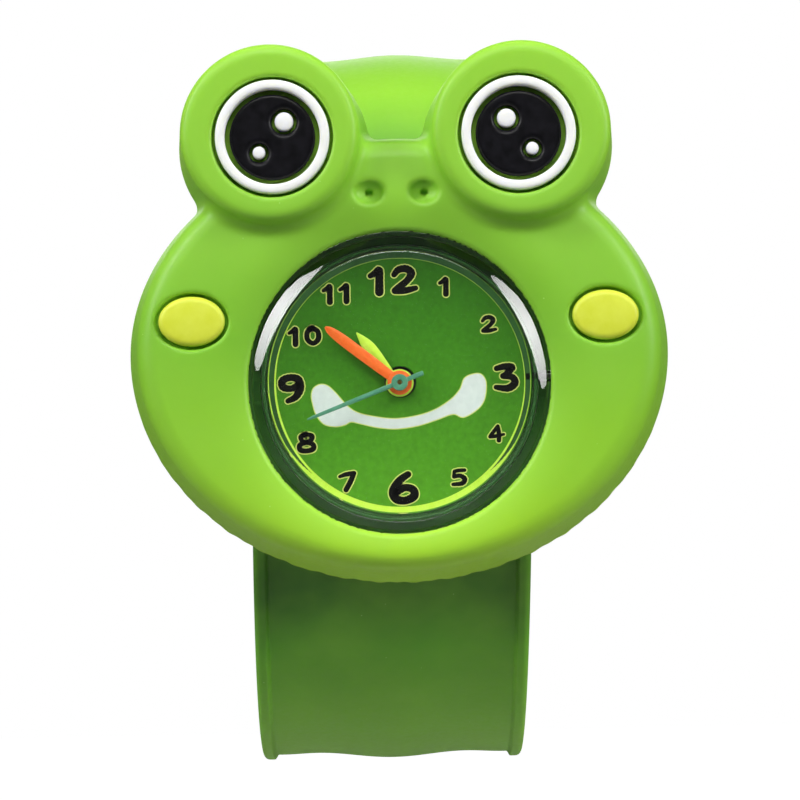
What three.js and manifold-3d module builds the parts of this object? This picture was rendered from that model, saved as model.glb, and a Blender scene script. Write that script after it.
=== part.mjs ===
// Slap-on toy watch: a frog-head silicone case on a curled spring band, holding a clear plastic
// pod with a three-hand quartz movement.
// Millimetres. Everything is drawn looking at the dial: X right, Y up to twelve o'clock, Z towards
// the viewer, with the origin on the wrist axis. The root group then turns that drawing so that Z
// is up and the dial looks along -Y. Depths inside the pod are measured from its back.
import * as THREE from 'three';
import { mergeVertices, toCreasedNormals } from 'three/addons/utils/BufferGeometryUtils.js';
import Module from 'manifold-3d';

const wasm = await Module();
wasm.setup();

// Fits
const PLAY = 0.3; // round a piece that sits in a pocket
const SEAT = 0.05; // between two flat faces
const PIVOT_PLAY = 0.08; // round an arbor in its hole

// Band
const LOOP_RADIUS = 33.9; // wrist side of the curled band
const BAND_WIDTH = 26.4;
const BAND_THICKNESS = 2.6; // over the edge beads
const PANEL_THICKNESS = 2.0; // in the hollows beside the beads
const CROWN_RISE = 0.55; // of the middle of the panel over its hollows
const BEAD_WIDTH = 1.4;
const EDGE_ROUND = 0.5; // of the outer corners of the section
const CENTRE_HALF_ANGLE = 20; // degrees of band behind the head, each way
const LINKS_PER_ARM = 8; // lengths that each arm bends in
const TIP_GAP_ANGLE = 3.2; // degrees from each tip to the plane behind the wrist
const TIP_CORNER = 7; // plan radius of the band's end corners
const BEND_GAP = 0.3; // between two lengths of an arm
const STRIP_WIDTH = 18; // of the spring steel inside the band
const STRIP_THICKNESS = 0.3;
const STRIP_END = 6; // from the end of the strip to the band's tip
const STRIP_START_ANGLE = 1;

// Head
const HEAD_WIDTH = 50;
const HEAD_CROWN = 20; // widest line to the top
const HEAD_CHIN = 21.1; // widest line to the bottom
const HEAD_RISE = 3.1; // widest line over the dial centre
const HEAD_DEPTH = 11.6; // parting line to the front
const HEAD_WRAP = 1.5; // that the head reaches back over the band
const EYE_X = 11.33;
const EYE_Y = 22.25;
const EYE_RADIUS = 8;
const EYE_DRAFT = 0.9; // extra radius at the parting line
const EYE_PROUD = 1.7; // over the front of the head
const EYE_EDGE = 0.7;
const RING_X = 11.06;
const RING_Y = 21.85;
const RING_RADIUS = 5.14;
const RING_WIDTH = 0.92;
const RING_HEIGHT = 1.6;
const PUPIL_RADIUS = 3.85;
const PUPIL_HEIGHT = 1.1;
const EYE_SINK = 1.5; // depth of the recess for ring and pupil
const BIG_GLINT = { radius: 0.85, inward: 1.07, up: 1.39 };
const SMALL_GLINT = { radius: 0.58, inward: -1.22, up: -1.38 };
const GLINT_HEIGHT = 0.9;
const CHEEK_INSET = 6.36; // middle of a cheek from the head's widest point
const CHEEK_Y = 5.75;
const CHEEK_A = 3.0;
const CHEEK_B = 2.25;
const CHEEK_SINK = 1.0;
const NOSTRIL_X = 2.48;
const NOSTRIL_Y = 17;
const NOSTRIL_A = 1.3;
const NOSTRIL_B = 1.0;
const NOSTRIL_SINK = 0.9;
const FLOOR = 1.2; // silicone between pod and band
const LIP_OVERLAP = 0.35; // of the front lip over the pod
const LIP_RISE = 0.3; // of the lip's underside over the pod's shoulder

// Pod
const POD_TURN = 2.1; // degrees anticlockwise in the head
const POD_RADIUS = 14;
const POD_WALL = 1.95;
const DIAL_LEDGE = 0.35; // that overlaps the dial's rim, and the edge of the window's flat front
const WINDOW_BEVEL = 1.0; // drop of the window's bevel
const BACK_THICKNESS = 0.8;
const DIAL_BACK = 4.4; // depth of the dial in the pod
const DIAL_THICKNESS = 0.4;
const DIAL_HOLE = 1.4;
const HAND_ROOM = 2.2; // dial to window
const WINDOW_THICKNESS = 1.2;
const SHOULDER_DROP = 1.6; // window front to the shoulder under the lip

// Movement
const PLATE_RADIUS = 10.2; // of the movement as it is drawn, which scales in plan to fit the pod
const HOLDER_WALL = 1.85; // plate to the pod's bore
const PLATE_BACK = 2.9;
const PLATE_THICKNESS = 0.6;
const BRIDGE_BACK = 1.0;
const BRIDGE_THICKNESS = 0.35;
const BRIDGE_WIDTH = 2.4;
const BRIDGE_PAST_THIRD = 3.65; // from a wheel centre to the bridge's post beyond it
const BRIDGE_PAST_ROTOR = 1.75;
const POST_RADIUS = 0.5;
const BOARD_POSTS = [[1.2, 8.4], [7.4, 4.4]];
const STRAP_POST = [-8.1, 3.6];
const BEARING = { near: 8.4, far: 9.6, half: 1.2 }; // block that carries the stem
const CAN_AT = [4, 6.55];
const BOARD_EDGE = [[0, 5.6], [3.2, 4.2], [7.9, 3.4], [8.6, 4.6], [6.9, 6.9], [3.6, 9], [0, 9.6]];
const BOARD_BACK = 1.45;
const BOARD_THICKNESS = 0.3;
const CAN_RADIUS = 0.46;
const CAN_LENGTH = 4.2;
const WHEEL_THICKNESS = 0.25;
const SECOND_TEETH = 42;
const SECOND_PINION = 6;
const THIRD_TEETH = 45;
const THIRD_PINION = 6;
const CENTRE_TEETH = 48;
const FIFTH_TEETH = 30;
const FIFTH_PINION = 7;
const ROTOR_PINION = 6;
const CANNON_TEETH = 8;
const MINUTE_TEETH = 24;
const MINUTE_PINION = 8;
const HOUR_TEETH = 32;
const THIRD_MODULE = 0.125;
const SECOND_MODULE = 0.131;
const FIFTH_MODULE = 0.1;
const CANNON_MODULE = 0.15;
const THIRD_ANGLE = 110; // of the wheel centres round the dial centre, degrees
const ROTOR_ANGLE = -60;
const MINUTE_ANGLE = 25;
const SECOND_ARBOR = 0.16;
const CANNON_TUBE = { inner: 0.24, outer: 0.42 };
const HOUR_TUBE = { inner: 0.52, outer: 0.8 };
const ARBOR_RADIUS = 0.15;
const MAGNET_RADIUS = 0.75;
const STATOR_BACK = 2.5;
const STATOR_THICKNESS = 0.3;
const BATTERY_RADIUS = 2.9;
const BATTERY_THICKNESS = 2.1;
const BATTERY_BACK = 1.25;
const BATTERY_AT = { distance: 6.3, angle: 205 };
const COIL_Y = -8;
const COIL_LENGTH = 7;
const COIL_RADIUS = 0.55;
const CORE_THICKNESS = 0.3;
const CORE_WIDTH = 0.44;
const FOOT_WIDTH = 1.2;
const FOOT_LENGTH = 1.3;
const STRAP_WIDTH = 1.6;
const STRAP_THICKNESS = 0.2;
const STEM_RADIUS = 0.35;
const STEM_DEPTH = 2.2;
const STEM_START = 4.6;
const GROOVE_X = 7;
const CROWN_RADIUS = 1.5;
const CROWN_LENGTH = 1.4;
const CROWN_PULL = 0.9;

// Hands, pointing to the time shown, degrees clockwise from twelve
const HOUR_HAND = { angle: 322.5, length: 6, width: 0.95, hub: 1.25, depth: 5.25 };
const MINUTE_HAND = { angle: 309.9, length: 8.4, width: 1.05, hub: 1.1, depth: 5.85 };
const SECOND_HAND = { angle: 251.1, length: 9, width: 0.42, hub: 0.75, depth: 6.45, tail: 2.3 };
const HAND_THICKNESS = 0.18;

const FINISH = {
  silicone: { color: 0x8ecb45, roughness: 0.55 },
  white: { color: 0xf2f2ee, roughness: 0.4 },
  black: { color: 0x101114, roughness: 0.35 },
  cheek: { color: 0xd6e13e, roughness: 0.45 },
  clear: { color: 0xe9f2ea, roughness: 0.05, transparent: true, opacity: 0.35 },
  dial: { color: 0x4c8a2c, roughness: 0.5 },
  lime: { color: 0xd1f54d, roughness: 0.4 },
  orange: { color: 0xfb6e24, roughness: 0.4 },
  teal: { color: 0x64a07d, roughness: 0.4 },
  steel: { color: 0xb8bcc0, roughness: 0.3, metalness: 1 },
  brass: { color: 0xc9a24e, roughness: 0.35, metalness: 1 },
  copper: { color: 0xb4633a, roughness: 0.4, metalness: 1 },
  board: { color: 0x1f6b3a, roughness: 0.6 },
  grey: { color: 0x8d9094, roughness: 0.5 },
};

const rad = THREE.MathUtils.degToRad;
const bandOuter = LOOP_RADIUS + BAND_THICKNESS;
const partingZ = bandOuter - HEAD_WRAP;
const headFront = partingZ + HEAD_DEPTH;
const pocketFloor = bandOuter + PLAY + FLOOR;
const podBack = pocketFloor + PLAY;
const dialFront = DIAL_BACK + DIAL_THICKNESS;
const windowBack = dialFront + HAND_ROOM;
const podDepth = windowBack + WINDOW_THICKNESS;
const podShoulder = podDepth - SHOULDER_DROP;
const podBore = POD_RADIUS - POD_WALL;
const lipRadius = POD_RADIUS - LIP_OVERLAP;
const linkAngle = (180 - TIP_GAP_ANGLE - CENTRE_HALF_ANGLE) / LINKS_PER_ARM;
const eyeFront = headFront + EYE_PROUD;
const plateFront = PLATE_BACK + PLATE_THICKNESS;

// Turns a closed triangle mesh into a solid for cutting and joining.
function solidOf(geometry) {
  const bare = new THREE.BufferGeometry();
  bare.setAttribute('position', geometry.getAttribute('position'));
  bare.setIndex(geometry.getIndex());
  const welded = mergeVertices(bare, 1e-4);
  const index = welded.getIndex().array;
  const kept = [];
  for (let i = 0; i < index.length; i += 3) {
    const [a, b, c] = index.slice(i, i + 3);
    if (a !== b && b !== c && c !== a) kept.push(a, b, c);
  }
  return new wasm.Manifold(
    new wasm.Mesh({
      numProp: 3,
      vertProperties: Float32Array.from(welded.getAttribute('position').array),
      triVerts: Uint32Array.from(kept),
    }),
  );
}

function geometryOf(solid) {
  const { vertProperties, triVerts } = solid.getMesh();
  const geometry = new THREE.BufferGeometry();
  geometry.setAttribute('position', new THREE.BufferAttribute(vertProperties, 3));
  geometry.setIndex(new THREE.BufferAttribute(triVerts, 1));
  return toCreasedNormals(geometry, rad(30));
}

function join(first, ...others) {
  return others.reduce((sum, other) => sum.add(other), first);
}

function cut(body, ...tools) {
  return tools.reduce((rest, tool) => rest.subtract(tool), body);
}

// A body turned about Z from [radius, z] points, listed up the outside and down any bore.
function turned(profile, sides = 24) {
  const points = profile.map(([r, z]) => new THREE.Vector2(r, z));
  return solidOf(new THREE.LatheGeometry(points, sides).rotateX(Math.PI / 2));
}

function disc(radius, z0, z1, [x, y] = [0, 0], sides = 24) {
  const profile = [[0, z0], [radius, z0], [radius, z1], [0, z1]];
  return turned(profile, sides).translate([x, y, 0]);
}

// A round bar along X.
function bar(radius, x0, x1, [y, z] = [0, 0], sides = 16) {
  return turned([[0, x0], [radius, x0], [radius, x1], [0, x1]], sides)
    .rotate([0, 90, 0])
    .translate([0, y, z]);
}

function block([x0, x1], [y0, y1], [z0, z1]) {
  const geometry = new THREE.BoxGeometry(x1 - x0, y1 - y0, z1 - z0);
  return solidOf(geometry.translate((x0 + x1) / 2, (y0 + y1) / 2, (z0 + z1) / 2));
}

function plate(shape, z0, z1, curveSegments = 12) {
  const options = { depth: z1 - z0, bevelEnabled: false, steps: 1, curveSegments };
  return solidOf(new THREE.ExtrudeGeometry(shape, options).translate(0, 0, z0));
}

function outline(points) {
  return new THREE.Shape(points.map(([x, y]) => new THREE.Vector2(x, y)));
}

function capsule([x0, y0], [x1, y1], radius) {
  const along = Math.atan2(y1 - y0, x1 - x0);
  const shape = new THREE.Shape();
  shape.absarc(x1, y1, radius, along - Math.PI / 2, along + Math.PI / 2, false);
  shape.absarc(x0, y0, radius, along + Math.PI / 2, along + Math.PI * 1.5, false);
  shape.closePath();
  return shape;
}

function polar(distance, degrees) {
  return [distance * Math.cos(rad(degrees)), distance * Math.sin(rad(degrees))];
}

// A toothed wheel whose first tooth points along phase, or whose first gap does.
function gear(teeth, module, z0, z1, phase, gapFirst = false) {
  const pitch = (2 * Math.PI) / teeth;
  const radius = (teeth * module) / 2;
  const start = rad(phase) + (gapFirst ? pitch / 2 : 0);
  const points = [];
  const corner = (r, angle) => points.push([r * Math.cos(angle), r * Math.sin(angle)]);
  for (let i = 0; i < teeth; i += 1) {
    const middle = start + i * pitch;
    corner(radius - 1.15 * module, middle - 0.5 * pitch);
    corner(radius + 0.85 * module, middle);
  }
  return plate(outline(points), z0, z1);
}

// Skins a run of closed rings with the same count of points, and closes both ends.
function loft(rings, flat) {
  const count = rings[0].length;
  const positions = rings.flat().flatMap((p) => [p.x, p.y, p.z]);
  const index = [];
  for (let k = 0; k + 1 < rings.length; k += 1) {
    for (let i = 0; i < count; i += 1) {
      const a = k * count + i;
      const b = k * count + ((i + 1) % count);
      index.push(a, b + count, b, a, a + count, b + count);
    }
  }
  const last = (rings.length - 1) * count;
  for (const [a, b, c] of THREE.ShapeUtils.triangulateShape(flat, [])) {
    index.push(a, b, c, last + c, last + b, last + a);
  }
  const geometry = new THREE.BufferGeometry();
  geometry.setAttribute('position', new THREE.Float32BufferAttribute(positions, 3));
  geometry.setIndex(index);
  return solidOf(geometry);
}

// A length of band section between two angles round the wrist, from the front towards the top.
function sweep(section, fromAngle, toAngle, steps, widthAt = () => 1) {
  const rings = [];
  for (let k = 0; k <= steps; k += 1) {
    const angle = fromAngle + ((toAngle - fromAngle) * k) / steps;
    const width = widthAt(angle);
    rings.push(section.map(([x, h]) => {
      const r = LOOP_RADIUS + h;
      return new THREE.Vector3(x * width, r * Math.sin(rad(angle)), r * Math.cos(rad(angle)));
    }));
  }
  const flat = section.map(([x, h]) => new THREE.Vector2(x, h));
  return loft(rings, flat);
}

// The band's cross-section: [across, height over the wrist side], anticlockwise.
function bandSection() {
  const half = BAND_WIDTH / 2;
  const inside = half - BEAD_WIDTH;
  const right = [
    [half - EDGE_ROUND, 0],
    [half, EDGE_ROUND],
    [half, BAND_THICKNESS - EDGE_ROUND],
    [half - BEAD_WIDTH / 2, BAND_THICKNESS],
    [inside, BAND_THICKNESS - EDGE_ROUND / 2],
    [inside - EDGE_ROUND, PANEL_THICKNESS],
    [inside * 0.55, PANEL_THICKNESS + CROWN_RISE * 0.25],
    [inside * 0.28, PANEL_THICKNESS + CROWN_RISE * 0.75],
  ];
  const left = right.map(([x, h]) => [-x, h]).reverse();
  return [...right, [0, PANEL_THICKNESS + CROWN_RISE], ...left];
}

function rectangle(width, h0, h1) {
  return [[-width / 2, h0], [width / 2, h0], [width / 2, h1], [-width / 2, h1]];
}

const stripHeight = PANEL_THICKNESS / 2;
const pocketSection = rectangle(
  STRIP_WIDTH + 2 * PLAY,
  stripHeight - STRIP_THICKNESS / 2 - PLAY,
  stripHeight + STRIP_THICKNESS / 2 + PLAY,
);
const stripSection = rectangle(
  STRIP_WIDTH,
  stripHeight - STRIP_THICKNESS / 2,
  stripHeight + STRIP_THICKNESS / 2,
);
const gapAngle = THREE.MathUtils.radToDeg(BEND_GAP / 2 / bandOuter);
const tipAngle = CENTRE_HALF_ANGLE + LINKS_PER_ARM * linkAngle;
const stripEndAngle = tipAngle - THREE.MathUtils.radToDeg(STRIP_END / bandOuter);

// One length of an arm. The last one has round corners and a closed pocket.
function bandLink(number) {
  const from = CENTRE_HALF_ANGLE + (number - 1) * linkAngle + gapAngle;
  const isTip = number === LINKS_PER_ARM;
  const to = CENTRE_HALF_ANGLE + number * linkAngle - (isTip ? 0 : gapAngle);
  const widthAt = (angle) => {
    const left = Math.min(rad(tipAngle - angle) * bandOuter, TIP_CORNER);
    const inset = TIP_CORNER - Math.sqrt(TIP_CORNER ** 2 - (TIP_CORNER - left) ** 2);
    return 1 - (isTip ? Math.min(inset, TIP_CORNER * 0.9) / (BAND_WIDTH / 2) : 0);
  };
  const body = sweep(bandSection(), from, to, isTip ? 8 : 3, widthAt);
  const playAngle = THREE.MathUtils.radToDeg(PLAY / bandOuter);
  const pocketEnd = Math.min(to + 1, stripEndAngle + playAngle);
  return cut(body, sweep(pocketSection, from - 1, pocketEnd, 3));
}

function mirrorY(solid) {
  return solid.mirror([0, 1, 0]);
}

const watch = new THREE.Group();
watch.name = 'toy_slap_watch';
watch.rotation.x = Math.PI / 2;
const pod = new THREE.Group();
pod.position.z = podBack;
pod.rotation.z = rad(POD_TURN);
watch.add(pod);

function add(parent, name, solid, finish) {
  const mesh = new THREE.Mesh(geometryOf(solid), new THREE.MeshStandardMaterial(FINISH[finish]));
  mesh.name = name;
  parent.add(mesh);
}

// Band
const centre = cut(
  sweep(bandSection(), -CENTRE_HALF_ANGLE + gapAngle, CENTRE_HALF_ANGLE - gapAngle, 6),
  sweep(pocketSection, -CENTRE_HALF_ANGLE - 1, CENTRE_HALF_ANGLE + 1, 6),
);
add(watch, 'band_centre', centre, 'silicone');
for (let i = 1; i <= LINKS_PER_ARM; i += 1) {
  const link = bandLink(i);
  add(watch, `upper_link_${i}`, link, 'silicone');
  add(watch, `lower_link_${i}`, mirrorY(link), 'silicone');
}
const strip = sweep(stripSection, STRIP_START_ANGLE, stripEndAngle, 24);
add(watch, 'upper_spring_strip', strip, 'steel');
add(watch, 'lower_spring_strip', mirrorY(strip), 'steel');

// Head: a domed oval whose wall leans out towards the parting line, joined to two eye bosses.
function headDome() {
  const profile = [
    [0, 0], [1, 0], [0.988, 0.25], [0.962, 0.55], [0.936, 0.78],
    [0.91, 0.91], [0.87, 0.965], [0.75, 0.99], [0.4, 1], [0, 1],
  ].map(([r, z]) => new THREE.Vector2(r, partingZ + z * HEAD_DEPTH));
  const dome = new THREE.LatheGeometry(profile, 44).rotateX(Math.PI / 2);
  const at = dome.getAttribute('position');
  for (let i = 0; i < at.count; i += 1) {
    const y = at.getY(i);
    at.setX(i, (at.getX(i) * HEAD_WIDTH) / 2);
    at.setY(i, HEAD_RISE + y * (y > 0 ? HEAD_CROWN : HEAD_CHIN));
  }
  return solidOf(dome);
}

function eyeBoss(side) {
  const profile = [
    [0, partingZ], [EYE_RADIUS + EYE_DRAFT, partingZ],
    [EYE_RADIUS, eyeFront - EYE_EDGE], [EYE_RADIUS - EYE_EDGE * 0.3, eyeFront - EYE_EDGE * 0.3],
    [EYE_RADIUS - EYE_EDGE, eyeFront], [0, eyeFront],
  ];
  return turned(profile, 28).translate([side * EYE_X, EYE_Y, 0]);
}

function ellipse(a, b) {
  return new THREE.Shape().absellipse(0, 0, a, b, 0, 2 * Math.PI);
}

// A flat-floored oval pit, open to the front.
function ovalPit(a, b, floor, [x, y]) {
  return plate(ellipse(a, b), floor, eyeFront + 1, 8).translate([x, y, 0]);
}

// Height of the head's front over the flat middle of a pit, on the dome's gentle part.
const cheekFloor = headFront - HEAD_DEPTH * 0.012 - CHEEK_SINK;
const nostrilFloor = headFront - HEAD_DEPTH * 0.012 - NOSTRIL_SINK;
const eyeFloor = eyeFront - EYE_SINK;
const lipUnder = podBack + podShoulder + LIP_RISE;
const crownEnd = POD_RADIUS + PLAY + SEAT + CROWN_LENGTH;
const crownRoom = bar(CROWN_RADIUS + PLAY, podBore, crownEnd + CROWN_PULL + PLAY, [0, 0], 32)
  .translate([0, 0, podBack + STEM_DEPTH])
  .rotate([0, 0, POD_TURN]);
const saddle = bar(bandOuter + PLAY, -BAND_WIDTH / 2 - PLAY, BAND_WIDTH / 2 + PLAY, [0, 0], 80);

const cheekX = HEAD_WIDTH / 2 - CHEEK_INSET;
let head = join(headDome(), eyeBoss(-1), eyeBoss(1));
head = cut(
  head,
  saddle,
  disc(POD_RADIUS + PLAY, pocketFloor, lipUnder, [0, 0], 40),
  disc(lipRadius, pocketFloor, eyeFront + 1, [0, 0], 40),
  crownRoom,
);
for (const side of [-1, 1]) {
  head = cut(
    head,
    disc(RING_RADIUS + PLAY, eyeFloor, eyeFront + 1, [side * RING_X, RING_Y], 24),
    ovalPit(CHEEK_A + PLAY, CHEEK_B + PLAY, cheekFloor, [side * cheekX, CHEEK_Y]),
    ovalPit(NOSTRIL_A, NOSTRIL_B, nostrilFloor, [side * NOSTRIL_X, NOSTRIL_Y]),
  );
}
add(watch, 'head_shell', head, 'silicone');

// Eye and cheek inlays, each on the floor of its pit.
function eyeRing() {
  const inner = RING_RADIUS - RING_WIDTH;
  const top = RING_HEIGHT - RING_WIDTH * 0.2;
  const profile = [
    [inner, 0], [RING_RADIUS, 0], [RING_RADIUS, top], [RING_RADIUS - RING_WIDTH * 0.3, RING_HEIGHT],
    [inner + RING_WIDTH * 0.3, RING_HEIGHT], [inner, top], [inner, 0],
  ];
  return turned(profile, 24).translate([0, 0, eyeFloor + SEAT]);
}

function cheekInlay() {
  const options = {
    depth: CHEEK_SINK * 0.8, bevelEnabled: true, bevelThickness: CHEEK_SINK * 0.35,
    bevelSize: CHEEK_B * 0.3, bevelOffset: -CHEEK_B * 0.3, bevelSegments: 2, curveSegments: 9,
  };
  const oval = new THREE.ExtrudeGeometry(ellipse(CHEEK_A, CHEEK_B), options);
  const floor = cheekFloor + SEAT;
  const trimmed = solidOf(oval).subtract(block([-9, 9], [-9, 9], [-9, 0]));
  return trimmed.translate([0, 0, floor]);
}

for (const [side, word] of [[-1, 'left'], [1, 'right']]) {
  const inlay = eyeFloor + SEAT;
  const glints = [['large', BIG_GLINT], ['small', SMALL_GLINT]].map(([size, glint]) => ({
    ...glint,
    size,
    at: [side * (RING_X - glint.inward), RING_Y + glint.up],
  }));
  const pupil = disc(PUPIL_RADIUS, inlay, inlay + PUPIL_HEIGHT, [side * RING_X, RING_Y], 32);
  const holes = glints.map((g) => disc(g.radius + PLAY, 0, eyeFront + 1, g.at, 14));
  add(watch, `${word}_eye_ring`, eyeRing().translate([side * RING_X, RING_Y, 0]), 'white');
  add(watch, `${word}_pupil`, cut(pupil, ...holes), 'black');
  for (const g of glints) {
    const dot = disc(g.radius, inlay, inlay + GLINT_HEIGHT, g.at, 14);
    add(watch, `${word}_glint_${g.size}`, dot, 'white');
  }
  add(watch, `${word}_cheek`, cheekInlay().translate([side * cheekX, CHEEK_Y, 0]), 'cheek');
}

// Pod: a clear cup whose floor is the window, closed by a plate at the back.
const ledge = podBore - DIAL_LEDGE;
const rim = lipRadius - PLAY;
const shellProfile = [
  [0, windowBack], [ledge, windowBack], [ledge, dialFront + SEAT], [podBore, dialFront + SEAT],
  [podBore, 0], [POD_RADIUS, 0], [POD_RADIUS, podShoulder], [rim, podShoulder],
  [rim, podDepth - WINDOW_BEVEL], [(rim + ledge) / 2 + 0.3, podDepth - WINDOW_BEVEL * 0.38],
  [ledge, podDepth], [0, podDepth],
];
const stemHole = bar(STEM_RADIUS + PLAY / 2, 0, POD_RADIUS + 1, [0, STEM_DEPTH]);
add(pod, 'clear_case', cut(turned(shellProfile, 40), stemHole), 'clear');
add(pod, 'case_back', disc(podBore - PLAY / 2, 0, BACK_THICKNESS, [0, 0], 36), 'grey');
const plateSeat = podBore - HOLDER_WALL;
const planFit = plateSeat / PLATE_RADIUS;
const dialPlate = disc(podBore - PLAY / 2, DIAL_BACK, dialFront, [0, 0], 40);
add(pod, 'dial', cut(dialPlate, disc(DIAL_HOLE * planFit, 0, podDepth, [0, 0], 24)), 'dial');
const holderProfile = [
  [plateSeat + PLAY / 2, BACK_THICKNESS + SEAT], [podBore - PLAY, BACK_THICKNESS + SEAT],
  [podBore - PLAY, DIAL_BACK - SEAT], [plateSeat - PLAY, DIAL_BACK - SEAT],
  [plateSeat - PLAY, plateFront + SEAT], [plateSeat + PLAY / 2, plateFront + SEAT],
  [plateSeat + PLAY / 2, BACK_THICKNESS + SEAT],
];
const stemSlot = block([0, podBore], [-2 * STEM_RADIUS, 2 * STEM_RADIUS], [0, PLATE_BACK]);
add(pod, 'movement_holder', cut(turned(holderProfile, 28), stemSlot), 'white');

// The works are drawn at their own size and scaled in plan into the pod.
const addWorks = (name, solid, finish) => add(pod, name, solid.scale([planFit, planFit, 1]), finish);

// Wheel train. Each pair that meshes has a tooth of one on the line of centres and a gap of the
// other, and the second module of each stack follows from the shared centre distance.
const thirdDistance = ((SECOND_PINION + THIRD_TEETH) / 2) * THIRD_MODULE;
const centreModule = thirdDistance / ((THIRD_PINION + CENTRE_TEETH) / 2);
const fifthDistance = ((SECOND_TEETH + FIFTH_PINION) / 2) * SECOND_MODULE;
const rotorDistance = fifthDistance + ((FIFTH_TEETH + ROTOR_PINION) / 2) * FIFTH_MODULE;
const minuteDistance = ((CANNON_TEETH + MINUTE_TEETH) / 2) * CANNON_MODULE;
const hourModule = minuteDistance / ((MINUTE_PINION + HOUR_TEETH) / 2);
const thirdAt = polar(thirdDistance, THIRD_ANGLE);
const fifthAt = polar(fifthDistance, ROTOR_ANGLE);
const rotorAt = polar(rotorDistance, ROTOR_ANGLE);
const minuteAt = polar(minuteDistance, MINUTE_ANGLE);
const bridgeFront = BRIDGE_BACK + BRIDGE_THICKNESS;
const arborStart = BRIDGE_BACK + SEAT;
const arborEnd = plateFront - SEAT;
const secondBack = bridgeFront + 0.15;
const thirdBack = secondBack + WHEEL_THICKNESS + 0.2;
const centreBack = thirdBack + WHEEL_THICKNESS + 0.25;
const centreFront = centreBack + WHEEL_THICKNESS;
const cannonBack = plateFront + SEAT;
const minuteFront = cannonBack + WHEEL_THICKNESS;
const hourBack = minuteFront + 0.12;

const secondWheel = join(
  gear(SECOND_TEETH, SECOND_MODULE, secondBack, secondBack + WHEEL_THICKNESS, ROTOR_ANGLE),
  gear(SECOND_PINION, THIRD_MODULE, secondBack, thirdBack + WHEEL_THICKNESS + 0.1, THIRD_ANGLE),
  disc(SECOND_ARBOR, arborStart, SECOND_HAND.depth + HAND_THICKNESS - SEAT, [0, 0], 12),
);
addWorks('second_wheel', secondWheel, 'brass');
const thirdWheel = join(
  gear(THIRD_TEETH, THIRD_MODULE, thirdBack, thirdBack + WHEEL_THICKNESS, THIRD_ANGLE + 180, true),
  gear(THIRD_PINION, centreModule, thirdBack, centreFront + 0.1, THIRD_ANGLE + 180, true),
  disc(ARBOR_RADIUS, arborStart, arborEnd, [0, 0], 12),
).translate([...thirdAt, 0]);
addWorks('third_wheel', thirdWheel, 'brass');
const centreWheel = cut(
  join(
    gear(CENTRE_TEETH, centreModule, centreBack, centreFront, THIRD_ANGLE),
    gear(CANNON_TEETH, CANNON_MODULE, cannonBack, minuteFront, MINUTE_ANGLE),
    disc(CANNON_TUBE.outer, centreBack, MINUTE_HAND.depth + HAND_THICKNESS + SEAT, [0, 0], 14),
  ),
  disc(CANNON_TUBE.inner, 0, podDepth, [0, 0], 12),
);
addWorks('centre_wheel', centreWheel, 'brass');
const fifthWheel = join(
  gear(FIFTH_PINION, SECOND_MODULE, secondBack - 0.05, thirdBack, ROTOR_ANGLE + 180, true),
  gear(FIFTH_TEETH, FIFTH_MODULE, thirdBack, thirdBack + WHEEL_THICKNESS, ROTOR_ANGLE),
  disc(ARBOR_RADIUS, arborStart, arborEnd, [0, 0], 12),
).translate([...fifthAt, 0]);
addWorks('fifth_wheel', fifthWheel, 'brass');
const rotor = join(
  gear(ROTOR_PINION, FIFTH_MODULE, thirdBack - 0.05, STATOR_BACK, ROTOR_ANGLE + 180, true),
  disc(MAGNET_RADIUS, STATOR_BACK - 0.05, STATOR_BACK + STATOR_THICKNESS, [0, 0], 20),
  disc(ARBOR_RADIUS, arborStart, arborEnd, [0, 0], 12),
).translate([...rotorAt, 0]);
addWorks('rotor', rotor, 'grey');
const minuteWheel = join(
  gear(MINUTE_TEETH, CANNON_MODULE, cannonBack, minuteFront, MINUTE_ANGLE + 180, true),
  gear(MINUTE_PINION, hourModule, cannonBack, hourBack + WHEEL_THICKNESS, MINUTE_ANGLE + 180, true),
  disc(ARBOR_RADIUS, PLATE_BACK + SEAT, DIAL_BACK - 0.1, [0, 0], 12),
).translate([...minuteAt, 0]);
addWorks('minute_wheel', minuteWheel, 'brass');
const hourWheel = cut(
  join(
    gear(HOUR_TEETH, hourModule, hourBack, hourBack + WHEEL_THICKNESS, MINUTE_ANGLE),
    disc(HOUR_TUBE.outer, hourBack, HOUR_HAND.depth + HAND_THICKNESS + SEAT, [0, 0], 16),
  ),
  disc(HOUR_TUBE.inner, 0, podDepth, [0, 0], 14),
);
addWorks('hour_wheel', hourWheel, 'brass');

// Hands: a blade and hub drawn pointing to twelve, then turned to the time.
function hand({ angle, length, width, hub, depth, tail = 0 }, bore) {
  const blade = outline([
    [-width * 0.3, -tail], [width * 0.3, -tail], [width * 0.36, hub * 0.6],
    [width * 0.5, length * 0.45], [width * 0.34, length * 0.8], [width * 0.1, length],
    [-width * 0.1, length], [-width * 0.34, length * 0.8], [-width * 0.5, length * 0.45],
    [-width * 0.36, hub * 0.6],
  ]);
  const front = depth + HAND_THICKNESS;
  const body = join(plate(blade, depth, front), disc(hub, depth, front, [0, 0], 20));
  return cut(body, disc(bore + SEAT, 0, podDepth, [0, 0], 14)).rotate([0, 0, -angle]);
}
addWorks('hour_hand', hand(HOUR_HAND, HOUR_TUBE.outer), 'lime');
addWorks('minute_hand', hand(MINUTE_HAND, CANNON_TUBE.outer), 'orange');
addWorks('second_hand', hand(SECOND_HAND, SECOND_ARBOR), 'teal');

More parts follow.
